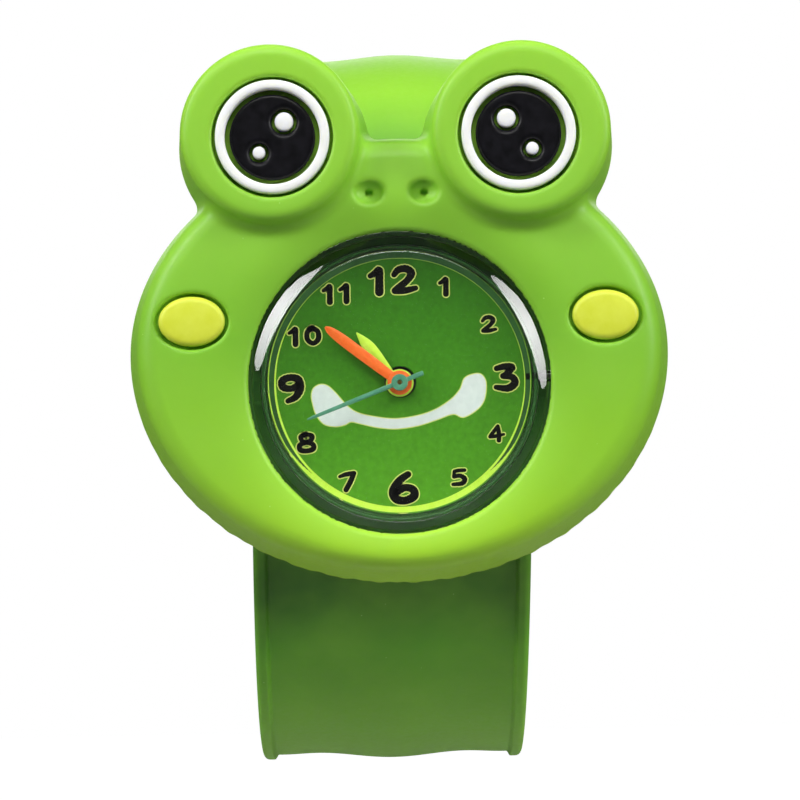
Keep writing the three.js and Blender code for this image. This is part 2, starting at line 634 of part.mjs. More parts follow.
// Plates of the movement, with posts that carry the bridge, the circuit and the battery strap.
const bridgeEnds = [
  polar(thirdDistance + BRIDGE_PAST_THIRD, THIRD_ANGLE + 5),
  polar(rotorDistance + BRIDGE_PAST_ROTOR, ROTOR_ANGLE - 2),
];
const boardFront = BOARD_BACK + BOARD_THICKNESS;
const strapFront = BATTERY_BACK - SEAT;
const batteryAt = polar(BATTERY_AT.distance, BATTERY_AT.angle);
const post = (at, end) => disc(POST_RADIUS, end + SEAT, PLATE_BACK + PLATE_THICKNESS / 2, at, 10);
const pivotHole = (at) => disc(ARBOR_RADIUS + PIVOT_PLAY, 0, podDepth, at, 8);
const bearing = block(
  [BEARING.near, BEARING.far],
  [-BEARING.half, BEARING.half],
  [STEM_DEPTH - STEM_RADIUS * 2, PLATE_BACK + 0.1],
);
const mainPlate = cut(
  join(
    disc(PLATE_RADIUS, PLATE_BACK, plateFront, [0, 0], 28),
    ...bridgeEnds.map((at) => post(at, bridgeFront)),
    ...BOARD_POSTS.map((at) => post(at, boardFront)),
    post(STRAP_POST, strapFront),
    bearing,
  ),
  disc(CANNON_TUBE.outer + PIVOT_PLAY, 0, podDepth, [0, 0], 16),
  disc(BATTERY_RADIUS + PLAY, 0, podDepth, batteryAt, 24),
  bar(STEM_RADIUS + PIVOT_PLAY, 5, POD_RADIUS, [0, STEM_DEPTH], 16),
  ...[thirdAt, fifthAt, rotorAt, minuteAt].map(pivotHole),
);
addWorks('main_plate', mainPlate, 'grey');
const bridge = cut(
  plate(capsule(...bridgeEnds, BRIDGE_WIDTH / 2), BRIDGE_BACK, bridgeFront, 6),
  disc(SECOND_ARBOR + PIVOT_PLAY, 0, podDepth, [0, 0], 12),
  ...[thirdAt, fifthAt, rotorAt].map(pivotHole),
);
addWorks('train_bridge', bridge, 'steel');

// Motor: stator plate round the rotor, coil core under its feet, winding on the core.
const inFoot = COIL_LENGTH / 2 + SEAT * 2;
const foot = inFoot + FOOT_LENGTH;
const [rotorX, rotorY] = rotorAt;
const stator = cut(
  join(
    plate(outline([
      [-foot, COIL_Y - 0.6], [-inFoot, COIL_Y - 0.6], [-inFoot, COIL_Y + 1.05],
      [inFoot, COIL_Y + 1.05], [inFoot, COIL_Y - 0.6], [foot, COIL_Y - 0.6],
      [foot, rotorY - 1], [rotorX + 1, rotorY - 0.4], [rotorX - 1, rotorY - 0.4],
      [-foot + 1, COIL_Y + 2], [-foot, COIL_Y + 1.6],
    ]), STATOR_BACK, STATOR_BACK + STATOR_THICKNESS),
    disc(MAGNET_RADIUS + 0.6, STATOR_BACK, STATOR_BACK + STATOR_THICKNESS, rotorAt, 20),
  ),
  disc(MAGNET_RADIUS + 0.2, 0, podDepth, rotorAt, 16),
  disc(POST_RADIUS + 0.15, 0, podDepth, bridgeEnds[1], 12),
);
addWorks('stator', stator, 'steel');
const coreFront = STATOR_BACK - SEAT;
const coreBack = coreFront - CORE_THICKNESS;
const footAcross = [COIL_Y - FOOT_WIDTH / 2, COIL_Y + FOOT_WIDTH / 2];
const core = join(
  block([-foot, foot], [COIL_Y - CORE_WIDTH / 2, COIL_Y + CORE_WIDTH / 2], [coreBack, coreFront]),
  block([-foot, -inFoot], footAcross, [coreBack, coreFront]),
  block([inFoot, foot], footAcross, [coreBack, coreFront]),
);
addWorks('coil_core', core, 'steel');
const coilMiddle = [COIL_Y, (coreBack + coreFront) / 2];
const winding = cut(
  bar(COIL_RADIUS, -COIL_LENGTH / 2, COIL_LENGTH / 2, coilMiddle, 14),
  bar(COIL_RADIUS * 0.62, -COIL_LENGTH, COIL_LENGTH, coilMiddle, 12),
);
addWorks('coil_winding', winding, 'copper');

// Power and circuit
const cell = turned([
  [0, 0], [BATTERY_RADIUS - 0.2, 0], [BATTERY_RADIUS, 0.2], [BATTERY_RADIUS, BATTERY_THICKNESS - 0.5],
  [BATTERY_RADIUS - 0.35, BATTERY_THICKNESS - 0.4], [BATTERY_RADIUS - 0.5, BATTERY_THICKNESS],
  [0, BATTERY_THICKNESS],
]).translate([...batteryAt, BATTERY_BACK]);
addWorks('battery', cell, 'steel');
const strap = plate(capsule(STRAP_POST, batteryAt, STRAP_WIDTH / 2), strapFront - STRAP_THICKNESS, strapFront, 6);
addWorks('battery_strap', strap, 'brass');
const board = plate(outline(BOARD_EDGE), BOARD_BACK, boardFront);
addWorks('circuit_board', board, 'board');
const can = bar(CAN_RADIUS, -CAN_LENGTH / 2, CAN_LENGTH / 2, [0, 0], 16)
  .rotate([0, 0, -30])
  .translate([...CAN_AT, boardFront + SEAT + CAN_RADIUS]);
addWorks('quartz_can', can, 'steel');

// Setting: a stem that pulls out with its lever, and the crown in its hollow of the head.
const stemAxis = [0, STEM_DEPTH];
const stem = cut(
  join(
    bar(STEM_RADIUS, STEM_START, crownEnd - 0.5, stemAxis, 12),
    bar(STEM_RADIUS * 1.7, STEM_START + 0.4, STEM_START + 1.2, stemAxis, 10),
  ),
  cut(
    bar(STEM_RADIUS + 1, GROOVE_X - 0.25, GROOVE_X + 0.25, stemAxis, 12),
    bar(STEM_RADIUS * 0.6, 0, POD_RADIUS, stemAxis, 12),
  ),
);
add(pod, 'stem', stem, 'black');
const lever = plate(outline([
  [GROOVE_X - 0.15, 0.27], [GROOVE_X + 0.15, 0.27], [GROOVE_X + 0.15, 1.4], [GROOVE_X + 0.6, 1.4],
  [GROOVE_X + 0.6, 2.5], [GROOVE_X - 1, 2.8], [GROOVE_X - 1, 1.4], [GROOVE_X - 0.15, 1.4],
]), STEM_DEPTH - 0.15, STEM_DEPTH + 0.15);
add(pod, 'setting_lever', lever, 'steel');
const knurl = Array.from({ length: 12 }, (_, i) => bar(0.2, 0, POD_RADIUS * 2, [CROWN_RADIUS, 0], 6)
  .rotate([30 * i, 0, 0]));
const crown = cut(
  bar(CROWN_RADIUS, crownEnd - CROWN_LENGTH, crownEnd, [0, 0], 24),
  bar(STEM_RADIUS + SEAT, 0, crownEnd - 0.4, [0, 0], 12),
  ...knurl,
).translate([0, 0, STEM_DEPTH]);
add(pod, 'crown', crown, 'black');

export default watch;
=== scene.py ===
"""Looks of the slap-on frog watch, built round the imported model.

Shapes are drawn as the watch is looked at, in millimetres: X right, Y up to twelve o'clock, Z towards
the viewer, with the origin on the wrist axis. to_frame turns that drawing into the row frame.
"""

import logging
import math
from collections.abc import Callable, Sequence
from dataclasses import dataclass, field
from enum import Enum

import bpy
import numpy as np
from mathutils import Matrix, Vector


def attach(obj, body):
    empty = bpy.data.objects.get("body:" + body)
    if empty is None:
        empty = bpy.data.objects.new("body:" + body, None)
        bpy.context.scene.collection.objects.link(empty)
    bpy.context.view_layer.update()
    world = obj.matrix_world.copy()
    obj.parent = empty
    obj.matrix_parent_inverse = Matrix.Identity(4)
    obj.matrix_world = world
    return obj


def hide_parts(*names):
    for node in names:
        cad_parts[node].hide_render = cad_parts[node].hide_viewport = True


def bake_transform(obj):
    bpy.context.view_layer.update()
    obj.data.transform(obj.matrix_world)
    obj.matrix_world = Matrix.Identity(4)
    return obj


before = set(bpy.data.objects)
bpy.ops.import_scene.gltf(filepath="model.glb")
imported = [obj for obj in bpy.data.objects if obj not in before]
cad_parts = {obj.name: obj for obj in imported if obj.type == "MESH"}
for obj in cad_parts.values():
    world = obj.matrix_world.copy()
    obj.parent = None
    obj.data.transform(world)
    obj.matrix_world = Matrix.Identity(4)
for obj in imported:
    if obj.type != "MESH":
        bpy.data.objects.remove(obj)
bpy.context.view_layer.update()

LOG = logging.getLogger("frog_watch")
MM = 0.001
ALONG = "along"
BODY = "watch_body"
PICTURE_SIDE = 800
TINY = 1e-9
ON_AXIS = 1e-6
ROUND_STEPS = 4
NOISE_ENDS = (0.3, 0.7)

Array = np.ndarray
Object = bpy.types.Object
Material = bpy.types.Material
Node = bpy.types.Node
Socket = bpy.types.NodeSocket
Colour = tuple[int, int, int]
Outline = Sequence[tuple[float, float]]
Faceted = tuple[Array, list[list[int]]]


class Side(Enum):
    """The halves of the face as it is looked at; the value is the sign of X."""

    LEFT = -1
    RIGHT = 1


class Arm(Enum):
    """The two free arms of the band; the value is the sign of Y at the start of the arm."""

    UPPER = 1
    LOWER = -1


class Grain(Enum):
    """Patterns that a finish can vary by."""

    MOULDED = "moulded"
    BRUSHED = "brushed"
    WOUND = "wound"
    TRACED = "traced"


def to_frame(points: Array) -> Array:
    """Turns points of the drawing, in millimetres, into the row frame, in metres."""
    p = np.asarray(points, float)
    return np.stack([p[..., 0], -p[..., 2], p[..., 1]], axis=-1) * MM


def linear(colour: Colour) -> tuple[float, float, float, float]:
    """Turns an sRGB colour of 0 to 255 into the linear one that shaders take.

    Args:
        colour: The sRGB colour.

    Returns:
        The linear colour, with a full alpha.
    """
    parts = [c / 255 for c in colour]
    flat = [c / 12.92 if c <= 0.04045 else ((c + 0.055) / 1.055) ** 2.4 for c in parts]
    return (*flat, 1.0)


def soft_min(a: Array, b: Array, blend: float) -> Array:
    """Joins two distance fields with a fillet of about that size."""
    h = np.clip(0.5 + 0.5 * (b - a) / blend, 0, 1)
    return b + (a - b) * h - blend * h * (1 - h)


def soft_max(a: Array, b: Array, blend: float) -> Array:
    """Keeps what two distance fields share, with a rounded edge of about that size."""
    return -soft_min(-a, -b, blend)


def smooth_step(t: Array) -> Array:
    """Eases from 0 to 1 as t goes from 0 to 1."""
    t = np.clip(t, 0, 1)
    return t * t * (3 - 2 * t)


def oval_distance(x: Array, y: Array, a: float, b: float) -> Array:
    """Gives about the distance from an oval outline, negative inside.

    Args:
        x: Offsets from the oval's centre along its first half axis.
        y: Offsets along its second half axis.
        a: First half axis.
        b: Second half axis.

    Returns:
        The distances, in the units of the inputs.
    """
    rho = np.sqrt((x / a) ** 2 + (y / b) ** 2) + TINY
    slope = np.sqrt((x / a**2) ** 2 + (y / b**2) ** 2) / rho + TINY
    return (rho - 1) / slope


def mesh_object(name: str, points: Array, faces: Sequence[Sequence[int]]) -> Object:
    """Makes a smooth-shaded mesh object from points of the drawing.

    Args:
        name: Name of the piece.
        points: Its points, in millimetres.
        faces: Its faces as point numbers.

    Returns:
        The object, linked to the scene.
    """
    mesh = bpy.data.meshes.new(name)
    mesh.from_pydata(to_frame(points).tolist(), [], faces)
    mesh.polygons.foreach_set("use_smooth", [True] * len(mesh.polygons))
    mesh.update()
    obj = bpy.data.objects.new(name, mesh)
    bpy.context.scene.collection.objects.link(obj)
    return obj


def crease(obj: Object, degrees: float) -> Object:
    """Keeps edges sharper than an angle crisp in the shading.

    Args:
        obj: A mesh object.
        degrees: The angle.

    Returns:
        The same object.
    """
    obj.data.set_sharp_from_angle(angle=math.radians(degrees))
    return obj


def skin(shape: Callable[[Array], Array], low: Sequence[float], high: Sequence[float], pitch: float,
         rounds: int = 3, least_slope: float = 0.2) -> Faceted:
    """Skins the zero surface of a distance field with one point in each cell that it crosses.

    Args:
        shape: Distance at points, negative inside.
        low: Lowest corner of the box to look in.
        high: Highest corner.
        pitch: Side of a cell.
        rounds: How often the points are then drawn onto the surface.
        least_slope: Squared slope below which a point is drawn no further.

    Returns:
        The points, and quads that face outwards.
    """
    base = np.asarray(low, float)
    counts = [int(math.ceil((h - l) / pitch)) + 1 for l, h in zip(low, high)]
    axes = [l + pitch * np.arange(n) for l, n in zip(low, counts)]
    value = shape(np.stack(np.meshgrid(*axes, indexing="ij"), -1))
    inside = value < 0
    corners = [(i, j, k) for i in (0, 1) for j in (0, 1) for k in (0, 1)]
    nx, ny, nz = (n - 1 for n in counts)
    count = sum(inside[i:nx + i, j:ny + j, k:nz + k].astype(np.int8) for i, j, k in corners)
    cells = np.argwhere((count > 0) & (count < 8))
    number = np.full((nx, ny, nz), -1)
    number[tuple(cells.T)] = np.arange(len(cells))
    total, hits = np.zeros((len(cells), 3)), np.zeros(len(cells))
    for corner in corners:
        for axis in (k for k in range(3) if corner[k] == 0):
            near = cells + corner
            far = near.copy()
            far[:, axis] += 1
            a, b = value[tuple(near.T)], value[tuple(far.T)]
            cross = (a < 0) != (b < 0)
            at = near[cross].astype(float)
            at[:, axis] += a[cross] / (a[cross] - b[cross])
            total[cross] += at
            hits[cross] += 1
    points = base + pitch * total / hits[:, None]
    quads = []
    for axis in range(3):
        u, v = (axis + 1) % 3, (axis + 2) % 3
        near = np.moveaxis(inside, axis, 0)[:-1]
        far = np.moveaxis(inside, axis, 0)[1:]
        edge = np.argwhere(np.moveaxis(near != far, 0, axis))
        out = np.moveaxis(near, 0, axis)[tuple(edge.T)]
        kept = (edge[:, u] > 0) & (edge[:, v] > 0)
        edge, out = edge[kept], out[kept]
        du, dv = np.eye(3, dtype=int)[u], np.eye(3, dtype=int)[v]
        ring = [edge - du - dv, edge - dv, edge, edge - du]
        quad = np.stack([number[tuple(e.T)] for e in ring], 1)
        quad[~out] = quad[~out][:, ::-1]
        quads.append(quad)
    step = pitch * 0.1
    for _ in range(rounds):
        distance = shape(points)
        slope = np.stack([
            (shape(points + step * e) - shape(points - step * e)) / (2 * step) for e in np.eye(3)
        ], -1)
        move = distance / np.maximum((slope**2).sum(-1), least_slope)
        points = points - slope * np.clip(move, -pitch / 2, pitch / 2)[:, None]
    return points, np.concatenate(quads).tolist()


def turned(profile: Outline, centre: tuple[float, float], sides: int) -> Faceted:
    """Gives the points and faces of a turned body.

    Args:
        profile: [radius, height] points, anticlockwise, closed by itself or at the axis.
        centre: Where the axis stands.
        sides: Points round the axis.

    Returns:
        Points in millimetres, and faces.
    """
    angle = 2 * np.pi * np.arange(sides) / sides
    points: list[Array] = []
    rings: list[list[int]] = []
    start = 0
    for r, z in profile:
        n = 1 if r < ON_AXIS else sides
        a = angle[:n]
        at = [centre[0] + r * np.cos(a), centre[1] + r * np.sin(a), np.full(n, z)]
        points.append(np.stack(at, -1))
        rings.append([start + (k if n > 1 else 0) for k in range(sides)])
        start += n
    faces = []
    open_ends = profile[0][0] < ON_AXIS and profile[-1][0] < ON_AXIS
    pairs = list(zip(rings, rings[1:])) + ([] if open_ends else [(rings[-1], rings[0])])
    for low, high in pairs:
        for k in range(sides):
            j = (k + 1) % sides
            quad = [low[k], low[j], high[j], high[k]]
            kept = [p for i, p in enumerate(quad) if p != quad[i - 1]]
            if len(kept) > 2:
                faces.append(kept)
    return np.concatenate(points), faces


def lathe(name: str, profile: Outline, centre: tuple[float, float] = (0, 0), sides: int = 128) -> Object:
    """Turns a closed profile about a Z axis of the drawing.

    Args:
        name: Name of the piece.
        profile: [radius, height] points, anticlockwise, closed by itself or at the axis.
        centre: Where the axis stands.
        sides: Points round the axis.

    Returns:
        The object.
    """
    return mesh_object(name, *turned(profile, centre, sides))


def joined(parts: Sequence[Faceted]) -> Faceted:
    """Puts several bodies into one.

    Args:
        parts: Points and faces of each.

    Returns:
        All the points, and the faces with their new point numbers.
    """
    starts = np.cumsum([0] + [len(points) for points, _ in parts]).tolist()
    faces = [[i + start for i in face] for start, (_, part) in zip(starts, parts) for face in part]
    return np.concatenate([points for points, _ in parts]), faces


def rounded(points: Outline, radius: float, steps: int = ROUND_STEPS) -> list[tuple[float, float]]:
    """Rounds the corners of a closed outline that lie to the right of the axis.

    Args:
        points: The corners.
        radius: Rounding, cut down where an edge is short.
        steps: Points in each rounded corner, less one.

    Returns:
        The outline with its corners rounded.
    """
    edge_share = 0.45
    p = np.asarray(points, float)
    out: list[tuple[float, float]] = []
    for i, corner in enumerate(p):
        before, after = p[i - 1] - corner, p[(i + 1) % len(p)] - corner
        lb, la = np.linalg.norm(before), np.linalg.norm(after)
        if corner[0] < ON_AXIS:
            out.append((float(corner[0]), float(corner[1])))
            continue
        reach = min(radius, edge_share * lb, edge_share * la)
        a, b = corner + before / lb * reach, corner + after / la * reach
        for t in np.linspace(0, 1, steps + 1):
            q = (1 - t) ** 2 * a + 2 * t * (1 - t) * corner + t * t * b
            out.append((float(q[0]), float(q[1])))
    return out


def curve_through(points: Sequence[Sequence[float]], steps: int, closed: bool = False) -> Array:
    """Runs a smooth curve through points.

    Args:
        points: The points, of any count of numbers each.
        steps: Points on each span.
        closed: Whether it comes back to its start.

    Returns:
        Points along the curve.
    """
    p = np.asarray(points, float)
    n = len(p)
    padded = np.concatenate([p[-1:], p, p[:2]]) if closed else np.concatenate([p[:1], p, p[-1:]])
    spans = n if closed else n - 1
    t = (np.arange(steps) / steps)[:, None]
    out = []
    for i in range(spans):
        a, b, c, d = padded[i:i + 4]
        out.append(0.5 * (2 * b + (c - a) * t + (2 * a - 5 * b + 4 * c - d) * t**2
                          + (3 * b - a - 3 * c + d) * t**3))
    if not closed:
        out.append(p[-1:])
    return np.concatenate(out)


class ShaderBench:
    """Lays out the nodes of one material."""

    def __init__(self, name: str) -> None:
        """Starts an empty material.

        Args:
            name: Name of the material.
        """
        self.material = bpy.data.materials.new(name)
        self.material.use_nodes = True
        self.tree = self.material.node_tree
        self.tree.nodes.clear()
        self.output = self.tree.nodes.new("ShaderNodeOutputMaterial")

    def add(self, kind: str, **values: object) -> Node:
        """Adds a node and sets its sockets or settings.

        Args:
            kind: Node type without its ShaderNode prefix.
            values: Socket values by name with _ for a space, or node settings.

        Returns:
            The node.
        """
        node = self.tree.nodes.new("ShaderNode" + kind)
        for key, value in values.items():
            socket = node.inputs.get(key.replace("_", " "))
            if socket is not None:
                socket.default_value = value
            else:
                setattr(node, key, value)
        return node

    def link(self, start: Socket, end: Socket) -> None:
        """Joins an output to an input."""
        self.tree.links.new(start, end)

    def ramp(self, factor: Socket, stops: Sequence[tuple[float, Colour]]) -> Socket:
        """Colours a factor.

        Args:
            factor: Output that runs from 0 to 1.
            stops: Positions and their sRGB colours.

        Returns:
            The colour output.
        """
        node = self.add("ValToRGB")
        elements = node.color_ramp.elements
        while len(elements) < len(stops):
            elements.new(0.5)
        for element, (position, colour) in zip(elements, stops):
            element.position = position
            element.color = linear(colour)
        self.link(factor, node.inputs["Fac"])
        return node.outputs["Color"]

    def cloudy(self, factor: Socket, colour: Colour, tint: Colour) -> Socket:
        """Runs between two colours over the range that a noise mostly keeps to."""
        return self.ramp(factor, list(zip(NOISE_ENDS, (colour, tint))))

    def remap(self, value: Socket, start: float, end: float, low: float = 0.0, high: float = 1.0) -> Socket:
        """Maps a range of values onto another and holds it at both ends.

        Args:
            value: The values.
            start: Value that gives the low end.
            end: Value that gives the high end.
            low: The low end.
            high: The high end.

        Returns:
            The mapped output.
        """
        node = self.add("MapRange", From_Min=start, From_Max=end, To_Min=low, To_Max=high)
        self.link(value, node.inputs["Value"])
        return node.outputs["Result"]

    def spread(self, factor: Socket, low: float, high: float) -> Socket:
        """Maps the range that a noise mostly keeps to onto another."""
        return self.remap(factor, *NOISE_ENDS, low, high)

    def multiply(self, first: Socket, second: Socket) -> Socket:
        """Multiplies two values.

        Args:
            first: One value.
            second: The other.

        Returns:
            The product.
        """
        node = self.add("Math", operation="MULTIPLY")
        self.link(first, node.inputs[0])
        self.link(second, node.inputs[1])
        return node.outputs["Value"]

    def mix(self, share: Socket, first: Socket, second: Socket | Colour) -> Socket:
        """Mixes a share of a second colour into a first.

        Args:
            share: From 0 to 1.
            first: A colour output.
            second: A colour output, or one sRGB colour.

        Returns:
            The mixed colour.
        """
        node = self.add("MixRGB")
        self.link(share, node.inputs["Fac"])
        self.link(first, node.inputs["Color1"])
        if isinstance(second, Socket):
            self.link(second, node.inputs["Color2"])
        else:
            node.inputs["Color2"].default_value = linear(second)
        return node.outputs["Color"]

    def choose(self, factor: Socket, first: Socket, second: Socket) -> Socket:
        """Goes from one shader to another.

        Args:
            factor: 0 for the first shader, 1 for the second.
            first: A shader output.
            second: Another.

        Returns:
            The shader output.
        """
        node = self.add("MixShader")
        for place, source in enumerate((factor, first, second)):
            self.link(source, node.inputs[place])
        return node.outputs["Shader"]

    def close(self, surface: Socket) -> Material:
        """Ends the material with its surface."""
        self.link(surface, self.output.inputs["Surface"])
        return self.material


@dataclass(frozen=True)
class Finish:
    """A surface that varies a little in colour, gloss and relief.

    Grain and relief are in millimetres.
    """

    name: str
    colour: Colour
    tint: Colour
    grain: Grain = Grain.MOULDED
    grain_size: float = 1.5
    gloss: tuple[float, float] = (0.4, 0.5)
    relief: float = 0.01
    metallic: float = 0.0
    glow: float = 0.0
    coat: float = 0.0
    shine: float = 0.5
    bump: float = 0.5

    def pattern(self, bench: ShaderBench) -> Socket:
        """Adds the nodes of the grain.

        Args:
            bench: The material being made.

        Returns:
            A factor from 0 to 1 over the surface.
        """
        place = bench.add("TexCoord")
        scale = 1 / (self.grain_size * MM)
        if self.grain is Grain.WOUND:
            wave = bench.add("TexWave", Scale=scale, Distortion=0.4, Detail=1.0)
            bench.link(place.outputs["Object"], wave.inputs["Vector"])
            return wave.outputs["Fac"]
        if self.grain is Grain.TRACED:
            brick = bench.add("TexBrick", Scale=scale, Mortar_Size=0.06)
            bench.link(place.outputs["Object"], brick.inputs["Vector"])
            return brick.outputs["Fac"]
        stretch = bench.add("Mapping", Scale=(0.08, 1, 1) if self.grain is Grain.BRUSHED else (1, 1, 1))
        noise = bench.add("TexNoise", Scale=scale, Detail=4.0, Roughness=0.6)
        bench.link(place.outputs["Object"], stretch.inputs["Vector"])
        bench.link(stretch.outputs["Vector"], noise.inputs["Vector"])
        return noise.outputs["Fac"]

    def roughen(self, bench: ShaderBench, shader: Node, factor: Socket) -> None:
        """Varies the gloss of a shader and gives it a fine relief.

        Args:
            bench: The material being made.
            shader: Its shader.
            factor: The grain, from 0 to 1.
        """
        bench.link(bench.spread(factor, *self.gloss), shader.inputs["Roughness"])
        bump = bench.add("Bump", Strength=self.bump, Distance=self.relief * MM)
        bench.link(factor, bump.inputs["Height"])
        bench.link(bump.outputs["Normal"], shader.inputs["Normal"])

    def material(self) -> Material:
        """Makes the material.

        Returns:
            The material.
        """
        bench = ShaderBench(self.name)
        shader = bench.add("BsdfPrincipled", Metallic=self.metallic, Coat_Weight=self.coat,
                           Specular_IOR_Level=self.shine)
        factor = self.pattern(bench)
        bench.link(bench.cloudy(factor, self.colour, self.tint), shader.inputs["Base Color"])
        self.roughen(bench, shader, factor)
        if self.glow:
            shader.inputs["Subsurface Weight"].default_value = 0.35
            shader.inputs["Subsurface Radius"].default_value = (1.0, 1.0, 0.5)
            shader.inputs["Subsurface Scale"].default_value = self.glow * MM
        return bench.close(shader.outputs["BSDF"])


@dataclass(frozen=True)
class SiliconeFinish(Finish):
    """Soft moulded silicone: cloudy colour, a fine bloom on the surface and a few pale specks of dust.

    The colour may carry painted light and shade from the bottom of a piece to its top or along the band,
    and painted shade inside a pocket, given as its radius and the height that it lies below.
    """

    bump: float = 0.35
    cloud_size: float = 9.0
    speck: Colour = (206, 238, 150)
    speck_spacing: float = 2.2
    speck_size: tuple[float, float] = (0.035, 0.015)
    speck_share: float = 0.45
    painted_light_and_shade: tuple[tuple[float, Colour], ...] = ()
    light_and_shade_share: tuple[float, float] = (0.9, 0.6)
    span: tuple[float, float] = (-18.0, 31.0)
    laid_along: bool = False
    outer_skin: tuple[float, float] = (0.3, 0.6)
    pocket: tuple[float, float] = (0.0, 0.0)
    pocket_shade_fade: tuple[float, float] = (0.2, 0.3)
    pocket_shade_colour: Colour = (62, 124, 36)

    def body_colour(self, bench: ShaderBench, place: Socket, cloud: Socket) -> Socket:
        """Adds the nodes of the cloudy colour and of its painted light and shade.

        Args:
            bench: The material being made.
            place: Where the surface is.
            cloud: A slow noise.

        Returns:
            The colour output.
        """
        parts = bench.add("SeparateXYZ")
        share = bench.spread(cloud, *self.light_and_shade_share)
        if self.laid_along:
            laid = bench.add("UVMap", uv_map=ALONG)
            bench.link(laid.outputs["UV"], parts.inputs["Vector"])
            level = parts.outputs["X"]
            share = bench.multiply(share, bench.remap(parts.outputs["Y"], *self.outer_skin))
        else:
            bench.link(place, parts.inputs["Vector"])
            level = bench.remap(parts.outputs["Z"], self.span[0] * MM, self.span[1] * MM)
        # Mixes the painted light and shade into the cloudy colour.
        return bench.mix(share, bench.cloudy(cloud, self.colour, self.tint), bench.ramp(level, self.painted_light_and_shade))

    def paint_pocket_shade(self, bench: ShaderBench, place: Socket, body: Socket) -> Socket:
        """Adds the nodes that paint shade deep inside a round pocket about the dial's axis.

        Args:
            bench: The material being made.
            place: Where the surface is.
            body: The colour outside the pocket.

        Returns:
            The colour output.
        """
        (radius, height), (side, below) = self.pocket, self.pocket_shade_fade
        flat = bench.add("Mapping", Scale=(1, 0, 1))
        bench.link(place, flat.inputs["Vector"])
        reach = bench.add("VectorMath", operation="LENGTH")
        bench.link(flat.outputs["Vector"], reach.inputs[0])
        inside = bench.remap(reach.outputs["Value"], (radius + side) * MM, radius * MM)
        parts = bench.add("SeparateXYZ")
        bench.link(place, parts.inputs["Vector"])
        deep = bench.remap(parts.outputs["Y"], -height * MM, (below - height) * MM)
        return bench.mix(bench.multiply(inside, deep), body, self.pocket_shade_colour)

    def material(self) -> Material:
        """Makes the material.

        Returns:
            The material.
        """
        bench = ShaderBench(self.name)
        shader = bench.add("BsdfPrincipled", Subsurface_Weight=0.3, Subsurface_Scale=self.glow * MM,
                           Subsurface_Radius=(1.0, 1.0, 0.4), Coat_Weight=self.coat, Coat_Roughness=0.32,
                           Specular_IOR_Level=self.shine)
        place = bench.add("TexCoord").outputs["Object"]
        cloud = bench.add("TexNoise", Scale=1 / (self.cloud_size * MM), Detail=3.0, Roughness=0.55)
        fine = bench.add("TexNoise", Scale=1 / (self.grain_size * MM), Detail=5.0, Roughness=0.65)
        dust = bench.add("TexVoronoi", Scale=1 / (self.speck_spacing * MM), Randomness=1.0)
        for node in (cloud, fine, dust):
            bench.link(place, node.inputs["Vector"])
        colour = self.body_colour(bench, place, cloud.outputs["Fac"])
        near = bench.remap(dust.outputs["Distance"], *self.speck_size, 0.0, self.speck_share)
        colour = bench.mix(near, colour, self.speck)
        # Painted shade deep in the dial's pocket.
        if self.pocket[0]:
            colour = self.paint_pocket_shade(bench, place, colour)
        bench.link(colour, shader.inputs["Base Color"])
        self.roughen(bench, shader, fine.outputs["Fac"])
        return bench.close(shader.outputs["BSDF"])


@dataclass(frozen=True)
class ClearFinish(Finish):
    """Clear moulded plastic that lets light through to what it covers."""

    bump: float = 0.1
    bend: float = 1.49
    shade: Colour = (226, 231, 226)

    def material(self) -> Material:
        """Makes the material.

        Returns:
            The material.
        """
        bench = ShaderBench(self.name)
        shader = bench.add("BsdfPrincipled", Transmission_Weight=1.0, IOR=self.bend)
        factor = self.pattern(bench)
        bench.link(bench.cloudy(factor, self.colour, self.tint), shader.inputs["Base Color"])
        self.roughen(bench, shader, factor)
        shadow = bench.add("LightPath").outputs["Is Shadow Ray"]
        gone = bench.add("BsdfTransparent", Color=linear(self.shade))
        return bench.close(bench.choose(shadow, shader.outputs["BSDF"], gone.outputs["BSDF"]))


@dataclass(frozen=True)
class DialFinish(Finish):
    """Printed dial: green that pales towards six o'clock, with fine flecks in the ink."""

    bump: float = 0.4
    low: float = -11.0
    high: float = 11.0
    tint_at: float = 0.45
    pale: Colour = (92, 164, 34)
    fleck: Colour = (222, 222, 222)
    plain: Colour = (255, 255, 255)

    def material(self) -> Material:
        """Makes the material.

        Returns:
            The material.
        """
        bench = ShaderBench(self.name)
        shader = bench.add("BsdfPrincipled", Coat_Weight=self.coat, Specular_IOR_Level=self.shine)
        place = bench.add("TexCoord").outputs["Object"]
        parts = bench.add("SeparateXYZ")
        flecks = bench.add("TexNoise", Scale=1 / (self.grain_size * MM), Detail=6.0, Roughness=0.7)
        for node in (parts, flecks):
            bench.link(place, node.inputs["Vector"])
        height = bench.remap(parts.outputs["Z"], self.high * MM, self.low * MM)
        slope = bench.ramp(height, [(0.0, self.colour), (self.tint_at, self.tint), (1.0, self.pale)])
        mixed = bench.add("MixRGB", blend_type="MULTIPLY", Fac=1.0)
        bench.link(slope, mixed.inputs["Color1"])
        bench.link(bench.cloudy(flecks.outputs["Fac"], self.fleck, self.plain), mixed.inputs["Color2"])
        bench.link(mixed.outputs["Color"], shader.inputs["Base Color"])
        self.roughen(bench, shader, flecks.outputs["Fac"])
        return bench.close(shader.outputs["BSDF"])
